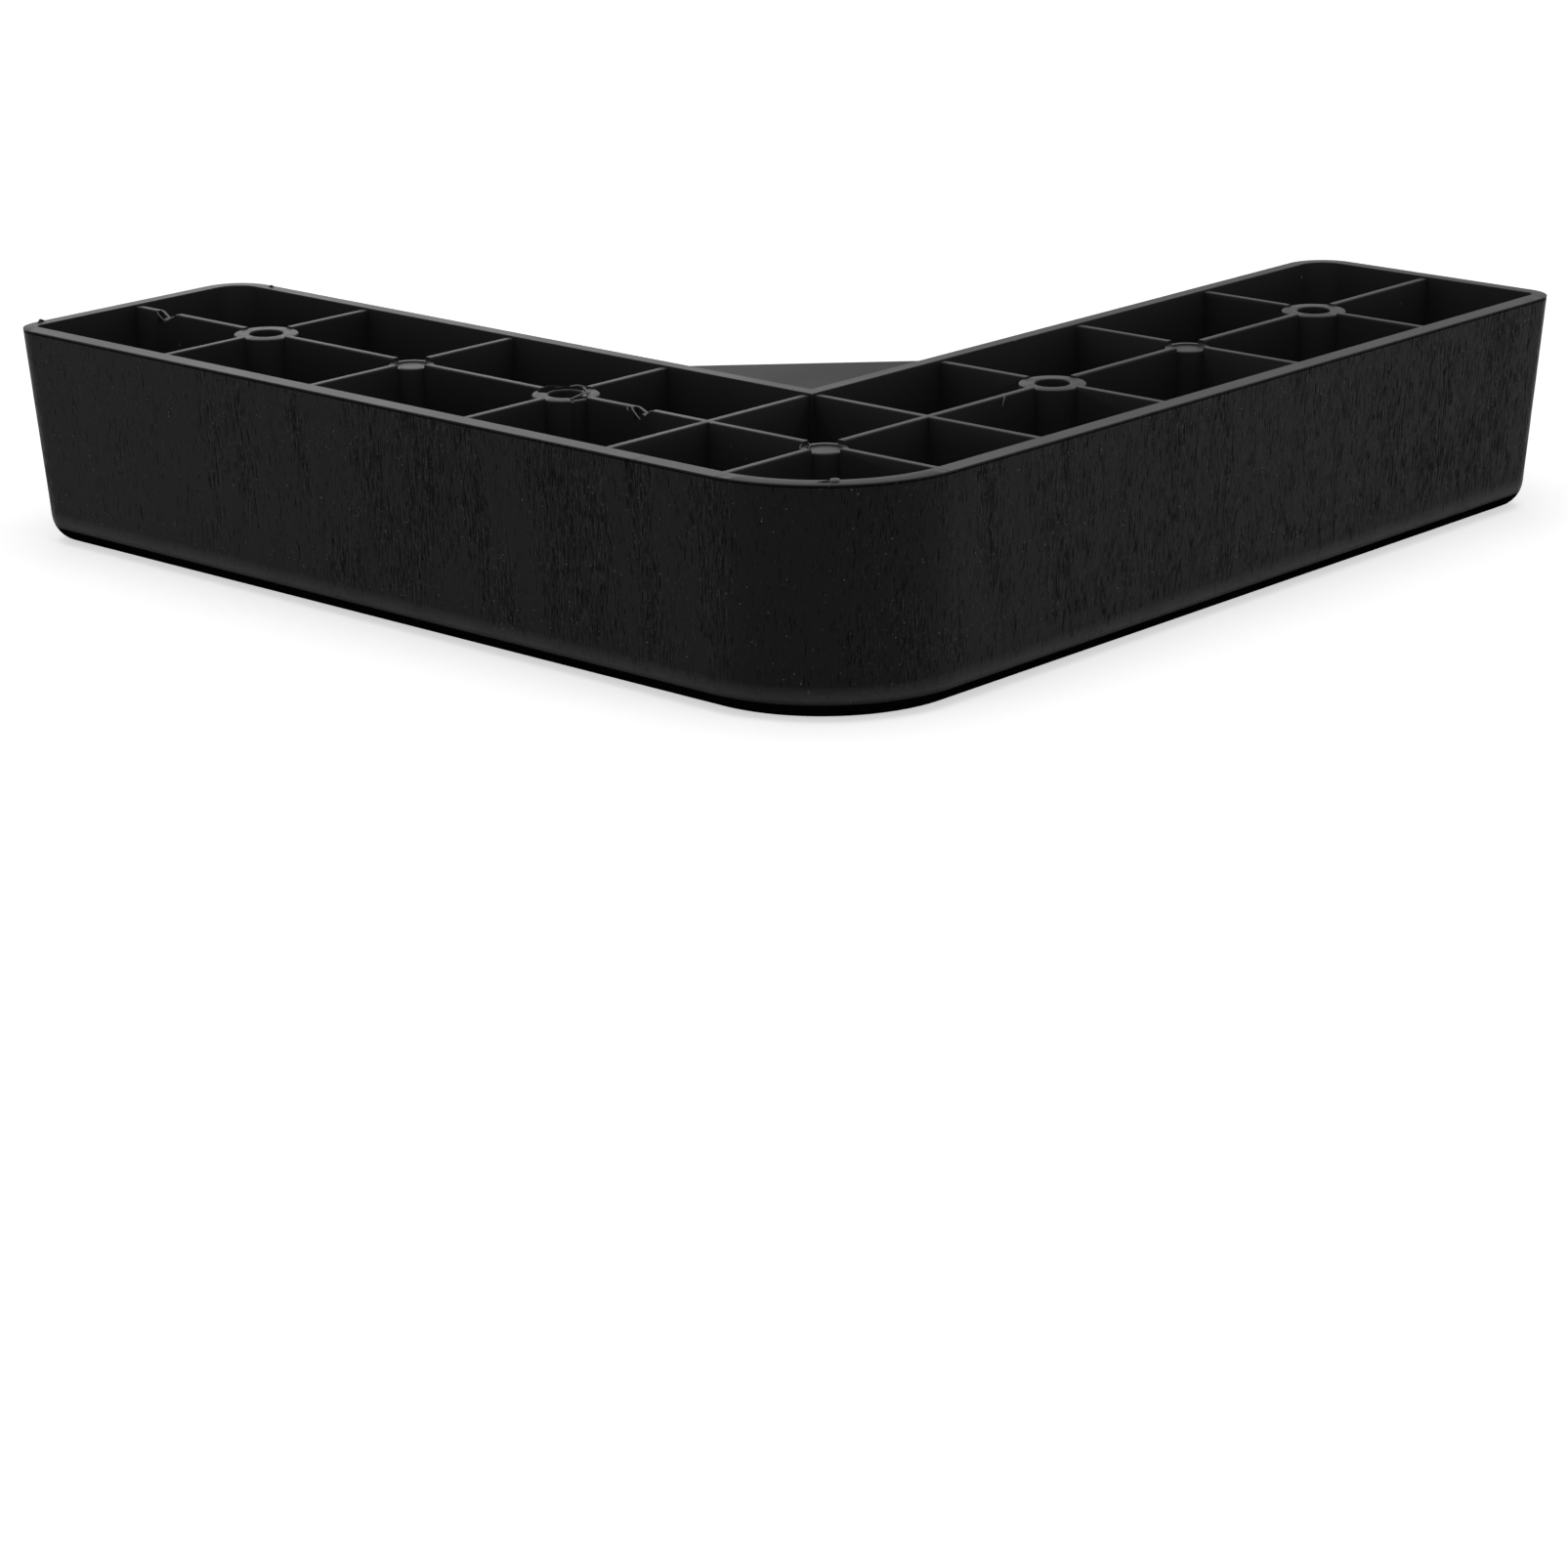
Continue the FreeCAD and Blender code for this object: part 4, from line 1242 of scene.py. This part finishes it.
def floor_object(stage):
    """A square floor, 8 m wide, in the plane of the base."""
    half_side = 4.0
    x, y = np.meshgrid([-half_side, half_side], [-half_side, half_side])
    corners = np.stack([x.ravel(), y.ravel(), np.zeros(4)], axis=-1)
    return mesh_object("floor", corners, [(0, 1, 3, 2)], [pale_floor(stage)])


def soft_world(ambient):
    """A world that is white to the camera and lights the riser with the ambient strength."""
    world = bpy.data.worlds.new("soft_white")
    world.use_nodes = True
    tree = world.node_tree
    share = background_share(tree, (-900, 0))
    strength = multiply_add(tree, (-300, 0), share, 1.0 - ambient, ambient)
    tree.nodes["Background"].inputs["Color"].default_value = (1.0, 1.0, 1.0, 1.0)
    tree.links.new(strength, tree.nodes["Background"].inputs["Strength"])
    return world


def camera_object(stage):
    """The camera. It looks at its aim, against the direction called back, and rolls about it."""
    camera = bpy.data.cameras.new("camera")
    camera.sensor_width = 36.0
    camera.lens = stage.lens
    camera.clip_start = 0.01
    holder = bpy.data.objects.new("camera", camera)
    turn, rise, roll = stage.azimuth, stage.elevation, stage.roll
    back = Vector((math.sin(turn) * math.cos(rise), -math.cos(turn) * math.cos(rise), math.sin(rise)))
    level = Vector((math.cos(turn), math.sin(turn), 0.0))
    upright = back.cross(level)
    right = level * math.cos(roll) + upright * math.sin(roll)
    up = upright * math.cos(roll) - level * math.sin(roll)
    place = Vector(stage.aim) + back * stage.distance
    holder.matrix_world = Matrix.Translation(place) @ Matrix((right, up, back)).transposed().to_4x4()
    bpy.context.scene.collection.objects.link(holder)
    return holder


def soft_lamp(name, power, size, place, shine):
    """A square area lamp that faces the riser, with or without highlights of its own."""
    light = bpy.data.lights.new(name, "AREA")
    light.shape = "SQUARE"
    light.size = size
    light.energy = power
    lamp = bpy.data.objects.new(name, light)
    lamp.location = place
    lamp.visible_glossy = shine
    lamp.rotation_euler = Vector(place).to_track_quat("Z", "Y").to_euler()
    bpy.context.scene.collection.objects.link(lamp)


# Operators

class BuildMoulding(Operator):
    """Builds the riser itself: grained shell, ribs, bosses, web, screw holes, dimples and notches"""

    bl_idname = "riser.build_moulding"
    bl_label = "Moulding"

    def execute(self, context):
        sizes = context.scene.riser_sizes
        materials = plastic_materials(context)
        moulding = shell_object(sizes, context.scene.riser_grain, materials)
        ribs = rib_objects(sizes, materials)
        grid = ribs[0]
        combine(grid, ribs[1:] + boss_objects(sizes, materials) + [web_object(sizes, materials)], "UNION")
        torn_boss = screw_places(sizes)[1]
        notches = [notch_object(sizes, materials, **nick) for nick in NICKS]
        trenches = [torn_trench(sizes, materials, torn_boss, **trench) for trench in TRENCHES]
        combine(grid, dish_objects(sizes, materials) + notches + trenches, "DIFFERENCE")
        combine(moulding, [grid], "UNION")
        combine(moulding, drill_objects(sizes, materials), "DIFFERENCE")
        mark_sharp(moulding.data, math.radians(20))
        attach(moulding, "root")
        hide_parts("riser_body")
        return {"FINISHED"}


class BuildFlash(Operator):
    """Builds the thin strands of flash at the torn boss, at the notches and on the rim's edge"""

    bl_idname = "riser.build_flash"
    bl_label = "Flash"

    def execute(self, context):
        flash = flash_object(FLASH, plastic_materials(context))
        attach(flash, "root")
        return {"FINISHED"}


class BuildStage(Operator):
    """Builds the pale floor, the soft light and the camera"""

    bl_idname = "riser.build_stage"
    bl_label = "Stage"

    def execute(self, context):
        stage = context.scene.riser_stage
        floor = floor_object(stage)
        context.scene.world = soft_world(stage.ambient)
        soft_lamp("lamp_above", stage.lamp_power, 1.1, (-0.12, -0.10, 1.15), True)
        soft_lamp("lamp_left", stage.side_power, 0.5, (-1.0, 0.15, 0.28), False)
        soft_lamp("lamp_right", stage.side_power, 0.5, (0.15, -1.0, 0.28), False)
        soft_lamp("lamp_back", stage.back_power, 0.30, (0.55, 0.67, 0.27), True)
        context.scene.camera = camera_object(stage)
        context.scene.view_settings.view_transform = "Standard"
        return {"FINISHED"}


class RiserPanel(Panel):
    """Lists the steps that build the riser"""

    bl_idname = "VIEW3D_PT_corner_riser"
    bl_label = "Corner riser"
    bl_space_type = "VIEW_3D"
    bl_region_type = "UI"
    bl_category = "Riser"

    def draw(self, context):
        for step in STEPS:
            self.layout.operator(step.bl_idname)


STEPS = (BuildMoulding, BuildFlash, BuildStage)
CLASSES = (RiserSizes, GrainSizes, PlasticLook, StageLook) + STEPS + (RiserPanel,)


def register():
    """Registers the add-on's classes and its settings on the scene."""
    for cls in CLASSES:
        bpy.utils.register_class(cls)
    bpy.types.Scene.riser_sizes = PointerProperty(type=RiserSizes)
    bpy.types.Scene.riser_grain = PointerProperty(type=GrainSizes)
    bpy.types.Scene.riser_look = PointerProperty(type=PlasticLook)
    bpy.types.Scene.riser_stage = PointerProperty(type=StageLook)


def unregister():
    """Removes the settings and the classes again."""
    del bpy.types.Scene.riser_stage
    del bpy.types.Scene.riser_look
    del bpy.types.Scene.riser_grain
    del bpy.types.Scene.riser_sizes
    for cls in reversed(CLASSES):
        bpy.utils.unregister_class(cls)


def main():
    """Runs the steps in order."""
    register()
    bpy.ops.riser.build_moulding()
    bpy.ops.riser.build_flash()
    bpy.ops.riser.build_stage()


if __name__ == "__main__":
    main()
